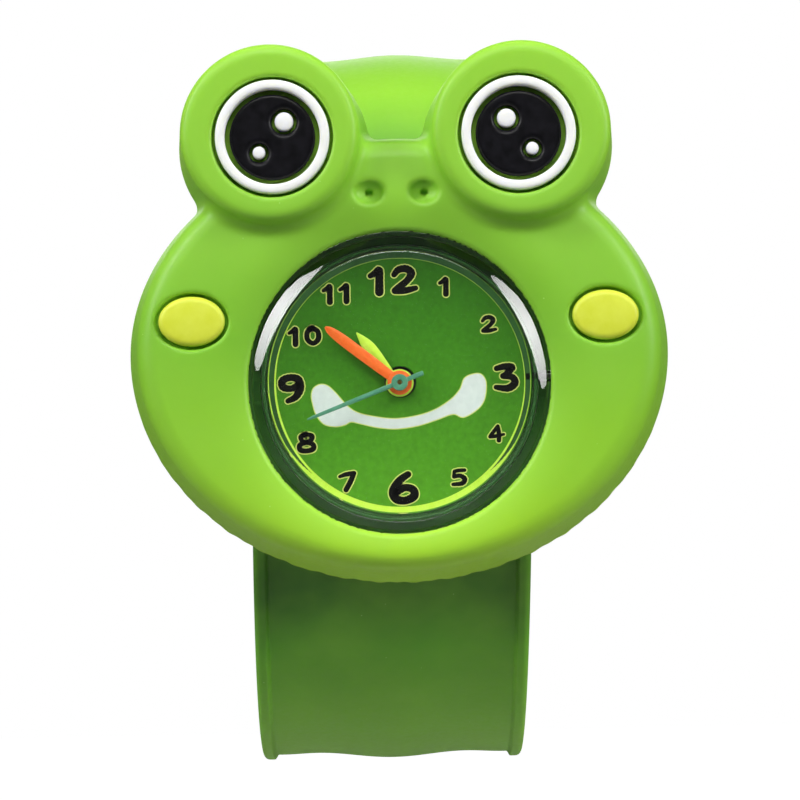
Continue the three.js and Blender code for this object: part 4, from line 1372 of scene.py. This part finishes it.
@dataclass
class DialPrint:
    """The flat ink on the dial: brushed numerals, a smile, and round the edge a painted reflection line, a
    painted shade border and a painted stem image.
    """

    surface: float
    outline: float = 0.1
    smile_outline: float = 0.09
    layer: float = 0.012
    lift_step: float = 0.0004
    lift_most: float = 0.008
    ragged: tuple[float, float] = (0.05, 2.1)
    edge_radius: float = 11.36
    reflection_width: float = 0.2
    reflection_least: float = 0.12
    reflection_swell: tuple[float, float] = (0.55, 0.75)
    reflection_turn: float = 0.25
    border_radius: float = 11.88
    mark_inset: float = 0.08
    mark_half: float = 0.28
    advance: float = 0.9
    boldness: float = 1.12
    offset: float = -0.26
    sides: int = 160
    numerals: dict[str, tuple[float, float]] = field(default_factory=lambda: {
        "12": (9.35, 2.36), "1": (9.85, 1.6), "2": (9.85, 1.45), "3": (9.75, 2.3), "4": (10.0, 1.45),
        "5": (10.15, 1.5), "6": (9.45, 2.7), "7": (9.95, 1.7), "8": (9.85, 1.7), "9": (9.7, 2.4),
        "10": (9.45, 1.62), "11": (9.7, 1.68)})
    smile: list[tuple[float, float]] = field(default_factory=lambda: [
        (-7.74, -0.68), (-7.51, -0.04), (-6.87, 0.26), (-6.21, 0.05), (-5.49, -0.7), (-4.62, -1.79),
        (-3.71, -2.46), (-2.23, -2.91), (-0.36, -3.2), (1.53, -3.06), (3.26, -2.6), (4.8, -1.74), (5.7, -0.84),
        (6.12, 0.08), (6.8, 0.42), (7.55, 0.44), (7.99, -0.11), (8.0, -1.06), (7.7, -2.08), (7.0, -2.8),
        (5.84, -3.35), (4.92, -3.02), (3.4, -3.45), (1.68, -3.9), (-0.22, -4.07), (-1.91, -3.86),
        (-3.4, -3.46), (-4.3, -3.22), (-4.92, -3.47), (-5.78, -3.57), (-6.8, -3.27), (-7.42, -2.38),
        (-7.65, -1.52)])

    def stroke(self, path: Sequence[tuple[float, float, float]], extra: float, height: float,
               z: float) -> Faceted:
        """Lays one brush stroke with round ends.

        Args:
            path: [x, y, half width] points, for a numeral one unit tall.
            extra: Width added all round, in millimetres.
            height: Height of the numeral.
            z: Height of the ink.

        Returns:
            Points about the numeral's lower left corner, and faces.
        """
        line = curve_through(path, 9) * height
        at, half = line[:, :2], line[:, 2] * self.boldness + extra
        along = np.gradient(at, axis=0)
        along /= np.linalg.norm(along, axis=1)[:, None] + TINY
        across = np.stack([-along[:, 1], along[:, 0]], 1)
        left, right = at + across * half[:, None], at - across * half[:, None]
        depth, pace = self.ragged
        n = len(at)
        rag = 1 + depth * np.sin(np.arange(n) * pace)
        left = at + (left - at) * rag[:, None]
        turn = np.linspace(0, np.pi, 9)[1:-1, None]
        end = at[-1] + half[-1] * (across[-1] * np.cos(turn) + along[-1] * np.sin(turn))
        start = at[0] + half[0] * (-across[0] * np.cos(turn) - along[0] * np.sin(turn))
        points = np.concatenate([left, right, end, start])
        faces = [[i, n + i, n + i + 1, i + 1] for i in range(n - 1)]
        k = len(end)
        faces.append([n - 1, *range(n * 2, n * 2 + k), n * 2 - 1][::-1])
        faces.append([n, *range(n * 2 + k, n * 2 + 2 * k), 0][::-1])
        return np.concatenate([points, np.full((len(points), 1), z)], 1), faces

    def words(self, extra: float, z: float) -> Faceted:
        """Lays all twelve numerals.

        Args:
            extra: Width added round every stroke.
            z: Height of the ink.

        Returns:
            Points about the dial's centre, and faces.
        """
        parts, lift = [], 0.0
        for text, (radius, height) in self.numerals.items():
            angle = math.radians(30 * int(text))
            widths = [height * self.advance for _ in text]
            left = self.offset + radius * math.sin(angle) - sum(widths) / 2
            for c, width in zip(text, widths):
                for path in STROKES[c]:
                    points, faces = self.stroke(path, extra, height, z + lift)
                    parts.append((points + [left, radius * math.cos(angle) - height / 2, 0], faces))
                    lift = (lift + self.lift_step) % self.lift_most
                left += width
        return joined(parts)

    def painted_reflection_line(self, z: float) -> Faceted:
        """Lays a painted reflection: a lime line along the dial's edge, which is widest at six o'clock.

        Args:
            z: Height of the ink.

        Returns:
            Points about the dial's centre, and faces.
        """
        turn = 2 * np.pi * np.arange(self.sides) / self.sides
        middle, swing = self.reflection_swell
        swell = smooth_step(middle - swing * np.sin(turn + self.reflection_turn))
        width = self.reflection_width * (self.reflection_least + (1 - self.reflection_least) * swell)
        return self.band(self.edge_radius - width, self.edge_radius, z)

    def border(self, z: float) -> Faceted:
        """Lays painted shade: a dark border between the lime line and the dial's edge."""
        return self.band(np.full(self.sides, self.edge_radius), self.border_radius, z)

    def painted_stem_image(self, z: float) -> Faceted:
        """Lays a painted image of the stem seen through the clear wall: a short black mark at three o'clock,
        in line with the stem.
        """
        near, far, side = self.edge_radius + self.mark_inset, self.border_radius, self.mark_half
        return np.array([(near, -side, z), (far, -side, z), (far, side, z), (near, side, z)]), [[0, 1, 2, 3]]

    def band(self, inner: Array, outer: float, z: float) -> Faceted:
        """Lays a flat ring of ink.

        Args:
            inner: Inner radius, all the way round.
            outer: Outer radius.
            z: Height of the ink.

        Returns:
            Points about the dial's centre, and faces.
        """
        turn = 2 * np.pi * np.arange(self.sides) / self.sides
        rings = [np.stack([r * np.cos(turn), r * np.sin(turn), np.full(self.sides, z)], 1)
                 for r in (inner, np.full(self.sides, outer))]
        after = np.roll(np.arange(self.sides), -1)
        faces = [[k, self.sides + k, self.sides + int(n), int(n)] for k, n in enumerate(after)]
        return np.concatenate(rings), faces

    def grin(self, extra: float, z: float) -> Faceted:
        """Lays the smile, grown by a width all round.

        Args:
            extra: Width added.
            z: Height of the ink.

        Returns:
            Points about the dial's centre, and one face.
        """
        line = curve_through(self.smile, 5, closed=True)
        along = np.roll(line, -1, 0) - np.roll(line, 1, 0)
        along /= np.linalg.norm(along, axis=1)[:, None]
        grown = line + [self.offset, 0] + np.stack([-along[:, 1], along[:, 0]], 1) * extra
        points = np.concatenate([grown, np.full((len(grown), 1), z)], 1)
        return points, [list(range(len(points)))[::-1]]


@dataclass
class WatchPod:
    """The clear pod with its dial, hands and movement.

    Heights are measured from the pod's back. The rows of the window's edge and of the dial hold how far
    out a point lies and how far below the front. A tail is rounded aside from the axis, where rounded
    takes all four of its corners.
    """

    pieces: PieceList
    back: float = 38.3
    turn: float = 2.1
    radius: float = 14.0
    bore: float = 12.05
    rim: float = 13.35
    window: float = 11.7
    bevel: float = 1.0
    shoulder: float = 6.6
    bevel_bulge: float = 0.04
    case_edge: float = 0.12
    window_edge: tuple[tuple[float, float], ...] = ((0.12, 0.066), (0.02, 0.014), (-0.3, 0.0))
    dial_back: float = 4.4
    dial_front: float = 4.8
    dial_play: float = 0.05
    dial_gap: float = 0.15
    dial_rows: tuple[tuple[float, float], ...] = (
        (0.0, 0.03), (0.004, 0.0), (0.3, 0.0), (0.6, 0.0), (0.9, 0.0), (0.996, 0.0), (1.0, 0.04))
    window_back: float = 7.0
    front: float = 8.2
    dial_hole: float = 1.42
    hole_shift: tuple[float, float] = (0.06, 0.12)
    stem_radius: float = 0.5
    stem_depth: float = 2.2
    cutter_length: float = 6.0
    cutter_inset: float = 2.0
    sides: int = 160
    hand_thickness: float = 0.18
    hand_ease: float = 0.05
    hub_share: float = 0.75
    collar_lift: float = 0.04
    collar_edge: float = 0.06
    tail_edge: float = 0.1
    tail_aside: float = 9.0
    hands: dict[str, dict[str, float]] = field(default_factory=lambda: {
        "hour": {"angle": 322.5, "length": 6.0, "width": 1.1, "hub": 1.25, "depth": 5.25, "bore": 0.85,
                 "tail": 0.0},
        "minute": {"angle": 309.9, "length": 8.4, "width": 1.0, "hub": 1.1, "depth": 5.85, "bore": 0.47,
                   "tail": 0.0},
        "second": {"angle": 251.1, "length": 9.0, "width": 0.42, "hub": 0.75, "depth": 6.45, "bore": 0.21,
                   "tail": 2.3}})

    def place(self, points: Array) -> Array:
        """Puts points of the pod, measured from its back, into the drawing.

        Args:
            points: Points of the pod.

        Returns:
            Points of the drawing.
        """
        x, y, z = np.moveaxis(np.asarray(points, float), -1, 0)
        c, s = math.cos(math.radians(self.turn)), math.sin(math.radians(self.turn))
        return np.stack([x * c - y * s, x * s + y * c, z + self.back], -1)

    def case(self) -> Object:
        """Turns the clear cup, with the hole that its stem passes through.

        Returns:
            The cup.
        """
        ledge, start = self.dial_front + self.dial_play, self.front - self.bevel
        outline = [(self.window, self.window_back), (self.window, ledge), (self.bore, ledge), (self.bore, 0),
                   (self.radius, 0), (self.radius, self.shoulder), (self.rim, self.shoulder),
                   (self.rim, start)]
        corner = ROUND_STEPS + 1
        inner = [outline[0], *rounded(outline, self.case_edge)[corner:-corner], outline[-1]]
        lean = [(self.rim + (self.window - self.rim) * t,
                 start + self.bevel * t + self.bevel_bulge * math.sin(math.pi * t))
                for t in np.linspace(0, 1, 7)[1:-1]]
        edge = [(self.window + out, self.front - drop) for out, drop in self.window_edge]
        profile = [(0.0, self.window_back), *inner, *lean, *edge, (0.0, self.front)]
        points, faces = turned(profile, (0, 0), self.sides)
        cup = crease(mesh_object("clear_cup", self.place(points), faces), 28)
        r, end = self.stem_radius, self.cutter_length
        rod, rod_faces = turned([(0, 0), (r, 0), (r, end), (0, end)], (0, 0), 32)
        out = rod[:, 2] + self.bore - self.cutter_inset
        along = np.stack([out, rod[:, 0], rod[:, 1] + self.stem_depth], 1)
        cutter = mesh_object("stem_cutter", self.place(along), rod_faces)
        hole = cup.modifiers.new("stem_hole", "BOOLEAN")
        hole.operation, hole.solver, hole.object = "DIFFERENCE", "EXACT", cutter
        bpy.context.view_layer.update()
        made = bpy.data.meshes.new_from_object(cup.evaluated_get(bpy.context.evaluated_depsgraph_get()))
        cup.modifiers.clear()
        cup.data = made
        bpy.data.objects.remove(cutter)
        return cup

    def dial(self) -> Object:
        """Builds the dial, whose hole stands a little off its centre.

        Returns:
            The dial.
        """
        sides, rings = self.sides, []
        angle = 2 * np.pi * np.arange(sides) / sides
        unit = np.stack([np.cos(angle), np.sin(angle)], 1)
        front = [(share, self.dial_front - drop) for share, drop in self.dial_rows]
        outer = self.bore - self.dial_gap
        for share, z in [(0.0, self.dial_back), *front, (1.0, self.dial_back)]:
            centre = np.asarray(self.hole_shift) * (1 - share)
            flat = centre + unit * (self.dial_hole + (outer - self.dial_hole) * share)
            rings.append(np.concatenate([flat, np.full((sides, 1), z)], 1))
        n = len(rings)
        faces = [[a * sides + k, ((a + 1) % n) * sides + k, ((a + 1) % n) * sides + (k + 1) % sides,
                  a * sides + (k + 1) % sides] for a in range(n) for k in range(sides)]
        return crease(mesh_object("green_dial", self.place(np.concatenate(rings)), faces), 30)

    def plate(self, outline: Array, z0: float, z1: float, ease: float) -> Faceted:
        """Stamps a flat plate with an eased upper edge.

        Args:
            outline: [x, y] points, anticlockwise.
            z0: Height of its back.
            z1: Height of its front.
            ease: Size of the eased edge.

        Returns:
            Points and faces.
        """
        along = np.roll(outline, -1, 0) - np.roll(outline, 1, 0)
        along /= np.linalg.norm(along, axis=1)[:, None] + TINY
        inward = np.stack([-along[:, 1], along[:, 0]], 1)
        rows = [(0.0, z0), (0.0, z1 - ease), (ease * 0.3, z1 - ease * 0.3), (ease, z1)]
        n = len(outline)
        rings = [np.concatenate([outline + inward * step, np.full((n, 1), z)], 1) for step, z in rows]
        faces = [[a * n + i, a * n + (i + 1) % n, (a + 1) * n + (i + 1) % n, (a + 1) * n + i]
                 for a in range(len(rows) - 1) for i in range(n)]
        faces.append([(len(rows) - 1) * n + i for i in range(n)])
        faces.append(list(range(n))[::-1])
        return np.concatenate(rings), faces

    def blade(self, word: str, length: float, width: float, hub: float) -> Array:
        """Draws a hand's blade pointing to twelve.

        Args:
            word: Which hand.
            length: From the centre to the tip.
            width: Greatest width.
            hub: Radius of its hub.

        Returns:
            The outline, anticlockwise.
        """
        root, *rows = {
            "hour": (0.2, (0.3, 0.32), (0.62, 0.5), (0.8, 0.42), (1.0, 0.05)),
            "minute": (0.44, (0.4, 0.5), (0.75, 0.5), (0.93, 0.36), (1.0, 0.1)),
            "second": (0.5, (0.5, 0.46), (0.9, 0.36), (1.0, 0.12)),
        }[word]
        side = [(root * width, hub * self.hub_share), *((half * width, length * y) for y, half in rows)]
        right = curve_through(side, 6)
        return np.concatenate([right, (right * [-1, 1])[::-1]])

    def hand(self, word: str, finish: Finish, slot: str, body: str) -> None:
        """Builds a hand: a stamped blade, its tail where it has one, and a collar round its arbor.

        Args:
            word: Which hand.
            finish: Its finish.
            slot: The record's material slot.
            body: The body it rides on.
        """
        size = self.hands[word]
        depth, bore, hub = size["depth"], size["bore"], size["hub"]
        front = depth + self.hand_thickness
        outline = self.blade(word, size["length"], size["width"], hub)
        parts = [self.plate(outline, depth, front, self.hand_ease)]
        if size["tail"]:
            half, near, end = size["width"] * 0.5, hub * self.hub_share, size["tail"]
            left, right = self.tail_aside - half, self.tail_aside + half
            corners = [(left, -end), (right, -end), (right, -near), (left, -near)]
            outline = np.asarray(rounded(corners, self.tail_edge)) - [self.tail_aside, 0]
            parts.append(self.plate(outline, depth, front, self.hand_ease))
        top = front + self.collar_lift
        square = [(bore, depth), (hub, depth), (hub, top), (bore, top)]
        parts.append(turned(rounded(square, self.collar_edge), (0, 0), 56))
        points, faces = joined(parts)
        a = -math.radians(size["angle"])
        spin = np.array([[math.cos(a), -math.sin(a), 0], [math.sin(a), math.cos(a), 0], [0, 0, 1]])
        obj = crease(mesh_object(f"{word}_pointer", self.place(points @ spin.T), faces), 35)
        self.pieces.fit(obj, finish, slot, body, [f"{word}_hand"])

    def printing(self) -> None:
        """Prints all the ink on the dial, with the painted reflection, painted shade and painted stem image
        round its edge.
        """
        ink = DialPrint(self.dial_front)
        low, high = ink.surface + ink.layer, ink.surface + 2 * ink.layer
        for name, (points, faces), finish, slot in (
            ("numeral_outlines", ink.words(ink.outline, low), OUTLINE_INK, "lime_paint"),
            ("numerals", ink.words(0.0, high), NUMERAL_INK, "black_inlay"),
            ("smile_outline", ink.grin(ink.smile_outline, low), OUTLINE_INK, "lime_paint"),
            ("smile", ink.grin(0.0, high), WHITE_INK, "white_inlay"),
            # A painted reflection along the dial's edge.
            ("dial_edge_line", ink.painted_reflection_line(low), LIME_PAINT, "lime_paint"),
            # Painted shade round the dial's edge.
            ("dial_painted_shade", ink.border(low), PAINTED_SHADE_INK, "dial_paint"),
            # A painted dark image of the stem seen through the clear wall.
            ("painted_stem_image", ink.painted_stem_image(high), NUMERAL_INK, "black_inlay"),
        ):
            self.pieces.fit(mesh_object(name, self.place(points), faces), finish, slot)

    def movement(self) -> None:
        """Dresses the works, which keep their CAD shapes."""
        for finish, names in (
            (GREY_PLASTIC, ("case_back", "main_plate", "rotor")),
            (WHITE_PLASTIC, ("movement_holder",)),
            (BRASS, ("second_wheel", "third_wheel", "centre_wheel", "fifth_wheel", "minute_wheel",
                     "battery_strap")),
            (BLACK_PLASTIC, ("hour_wheel", "stem", "crown")),
            (STEEL, ("train_bridge", "stator", "coil_core", "battery", "quartz_can", "setting_lever")),
            (COPPER, ("coil_winding",)),
            (BOARD, ("circuit_board",)),
        ):
            for name in names:
                self.pieces.carry(name, finish)

    def build(self) -> None:
        """Builds the pod."""
        self.pieces.fit(self.case(), CLEAR, "clear_plastic", nodes=["clear_case"])
        self.pieces.fit(self.dial(), DIAL, "dial_paint", nodes=["dial"])
        self.printing()
        self.hand("hour", LIME_PAINT, "lime_paint", "hour_train")
        self.hand("minute", ORANGE_PAINT, "orange_paint", "minute_train")
        self.hand("second", TEAL_PAINT, "teal_paint", "second_train")
        self.movement()


@dataclass(frozen=True)
class Lamp:
    """A soft oval lamp: its place in the drawing, its long and short side in metres, and its watts."""

    name: str
    place: tuple[float, float, float]
    size: tuple[float, float]
    power: float
    along: tuple[float, float, float] = (1.0, 0.0, 0.0)

    def hang(self, aim: tuple[float, float, float], spread: float) -> None:
        """Hangs the lamp so that it looks at a point.

        Args:
            aim: The point, in the drawing.
            spread: How wide it shines, in degrees.
        """
        light = bpy.data.lights.new(self.name, "AREA")
        light.shape, light.energy, light.spread = "ELLIPSE", self.power, math.radians(spread)
        light.size, light.size_y = self.size
        obj = bpy.data.objects.new(self.name, light)
        bpy.context.scene.collection.objects.link(obj)
        at = Vector(to_frame(self.place))
        back = (at - Vector(to_frame(aim))).normalized()
        up = back.cross(Vector(to_frame(self.along))).normalized()
        turn = Matrix((up.cross(back), up, back)).transposed()
        obj.matrix_world = Matrix.Translation(at) @ turn.to_4x4()


@dataclass
class Studio:
    """A pale floor, two strip lamps, a top lamp, a front and a back fill, and the photograph's camera."""

    floor_level: float = -125.0
    floor_size: float = 4.0
    floor_paint: tuple[Colour, Colour] = ((244, 244, 244), (250, 250, 250))
    floor_lift: float = 0.95
    floor_bounce: Colour = (180, 180, 180)
    ambient: float = 0.08
    lamp_spread: float = 80.0
    lamps: tuple[Lamp, ...] = (Lamp("top_soft", (0, 455, 75), (0.4, 0.16), 0.09),
                               Lamp("front_fill", (0, 372, 443), (0.45, 0.15), 0.34),
                               Lamp("back_fill", (0, 230, -540), (0.6, 0.3), 0.2))
    strips: tuple[tuple[str, float, float], ...] = (("left_strip", 146, 0.32), ("right_strip", 25, 0.3))
    strip_tilt: float = 66.0
    strip_distance: float = 460.0
    strip_size: tuple[float, float] = (0.4, 0.09)
    focal_px: float = 3501.0
    distance: float = 326.0
    aim: tuple[float, float, float] = (0.0, -1.1, 35.0)
    elevation: float = -2.8
    roll: float = 1.0
    sensor: float = 36.0

    def strip(self, name: str, degrees: float, power: float) -> Lamp:
        """Plans a strip lamp that shines off the window's bevel.

        Args:
            name: Name of the lamp.
            degrees: Its angle round the dial.
            power: In watts.

        Returns:
            The lamp.
        """
        a, tilt = math.radians(degrees), math.radians(self.strip_tilt)
        reach = self.strip_distance * math.sin(tilt)
        height = self.aim[2] + self.strip_distance * math.cos(tilt)
        place = (reach * math.cos(a), reach * math.sin(a), height)
        return Lamp(name, place, self.strip_size, power, (-math.sin(a), math.cos(a), 0))

    def surroundings(self) -> None:
        """Lights the room faintly and evenly, and shows it white to the camera."""
        world = bpy.data.worlds.new("studio")
        bpy.context.scene.world = world
        world.use_nodes = True
        tree = world.node_tree
        tree.nodes.clear()
        rays = tree.nodes.new("ShaderNodeLightPath")
        room, shown = tree.nodes.new("ShaderNodeBackground"), tree.nodes.new("ShaderNodeBackground")
        room.inputs["Strength"].default_value = self.ambient
        shown.inputs["Strength"].default_value = 1.0
        for node in (room, shown):
            node.inputs["Color"].default_value = (1, 1, 1, 1)
        mix = tree.nodes.new("ShaderNodeMixShader")
        out = tree.nodes.new("ShaderNodeOutputWorld")
        tree.links.new(rays.outputs["Is Camera Ray"], mix.inputs[0])
        tree.links.new(room.outputs["Background"], mix.inputs[1])
        tree.links.new(shown.outputs["Background"], mix.inputs[2])
        tree.links.new(mix.outputs["Shader"], out.inputs["Surface"])

    def floor(self) -> None:
        """Lays the pale floor, which keeps the watch's shadow and is clear from below."""
        half = self.floor_size / 2 / MM
        level = self.floor_level
        corners = [(-half, level, half), (half, level, half), (half, level, -half), (-half, level, -half)]
        obj = mesh_object("studio_floor", np.asarray(corners), [[0, 1, 2, 3]])
        bench = ShaderBench("pale_floor")
        noise = bench.add("TexNoise", Scale=30.0, Detail=2.0)
        paint = bench.add("BsdfDiffuse", Roughness=0.9)
        bench.link(bench.cloudy(noise.outputs["Fac"], *self.floor_paint), paint.inputs["Color"])
        lift = bench.add("Emission", Strength=self.floor_lift)
        shown = bench.add("AddShader")
        bench.link(paint.outputs["BSDF"], shown.inputs[0])
        bench.link(lift.outputs["Emission"], shown.inputs[1])
        muted = bench.add("BsdfDiffuse", Color=linear(self.floor_bounce))
        to_camera = bench.add("LightPath").outputs["Is Camera Ray"]
        upper = bench.choose(to_camera, muted.outputs["BSDF"], shown.outputs["Shader"])
        from_below = bench.add("NewGeometry").outputs["Backfacing"]
        clear = bench.add("BsdfTransparent").outputs["BSDF"]
        obj.data.materials.append(bench.close(bench.choose(from_below, upper, clear)))

    def camera(self) -> None:
        """Sets the camera where the photograph was taken from."""
        data = bpy.data.cameras.new("camera")
        data.sensor_width = self.sensor
        data.lens = self.sensor * self.focal_px / PICTURE_SIDE
        data.clip_start, data.clip_end = 0.01, 20.0
        obj = bpy.data.objects.new("camera", data)
        bpy.context.scene.collection.objects.link(obj)
        e = math.radians(self.elevation)
        aim = np.asarray(self.aim)
        at = Vector(to_frame(aim + self.distance * np.array([0, math.sin(e), math.cos(e)])))
        look = (Vector(to_frame(aim)) - at).to_track_quat("-Z", "Y").to_matrix().to_4x4()
        roll = Matrix.Rotation(math.radians(-self.roll), 4, "Z")
        obj.matrix_world = Matrix.Translation(at) @ look @ roll
        bpy.context.scene.camera = obj

    def build(self) -> None:
        """Sets up the whole studio."""
        bpy.context.scene.view_settings.view_transform = "Standard"
        self.surroundings()
        self.floor()
        for lamp in (*(self.strip(*strip) for strip in self.strips), *self.lamps):
            lamp.hang(self.aim, self.lamp_spread)
        self.camera()


def main() -> None:
    """Builds the watch and the studio in order."""
    logging.basicConfig(level=logging.INFO, format="%(name)s: %(message)s")
    pieces = PieceList()
    FrogHead(pieces).build()
    SlapBand(pieces).build()
    WatchPod(pieces).build()
    Studio().build()


if __name__ == "__main__":
    main()
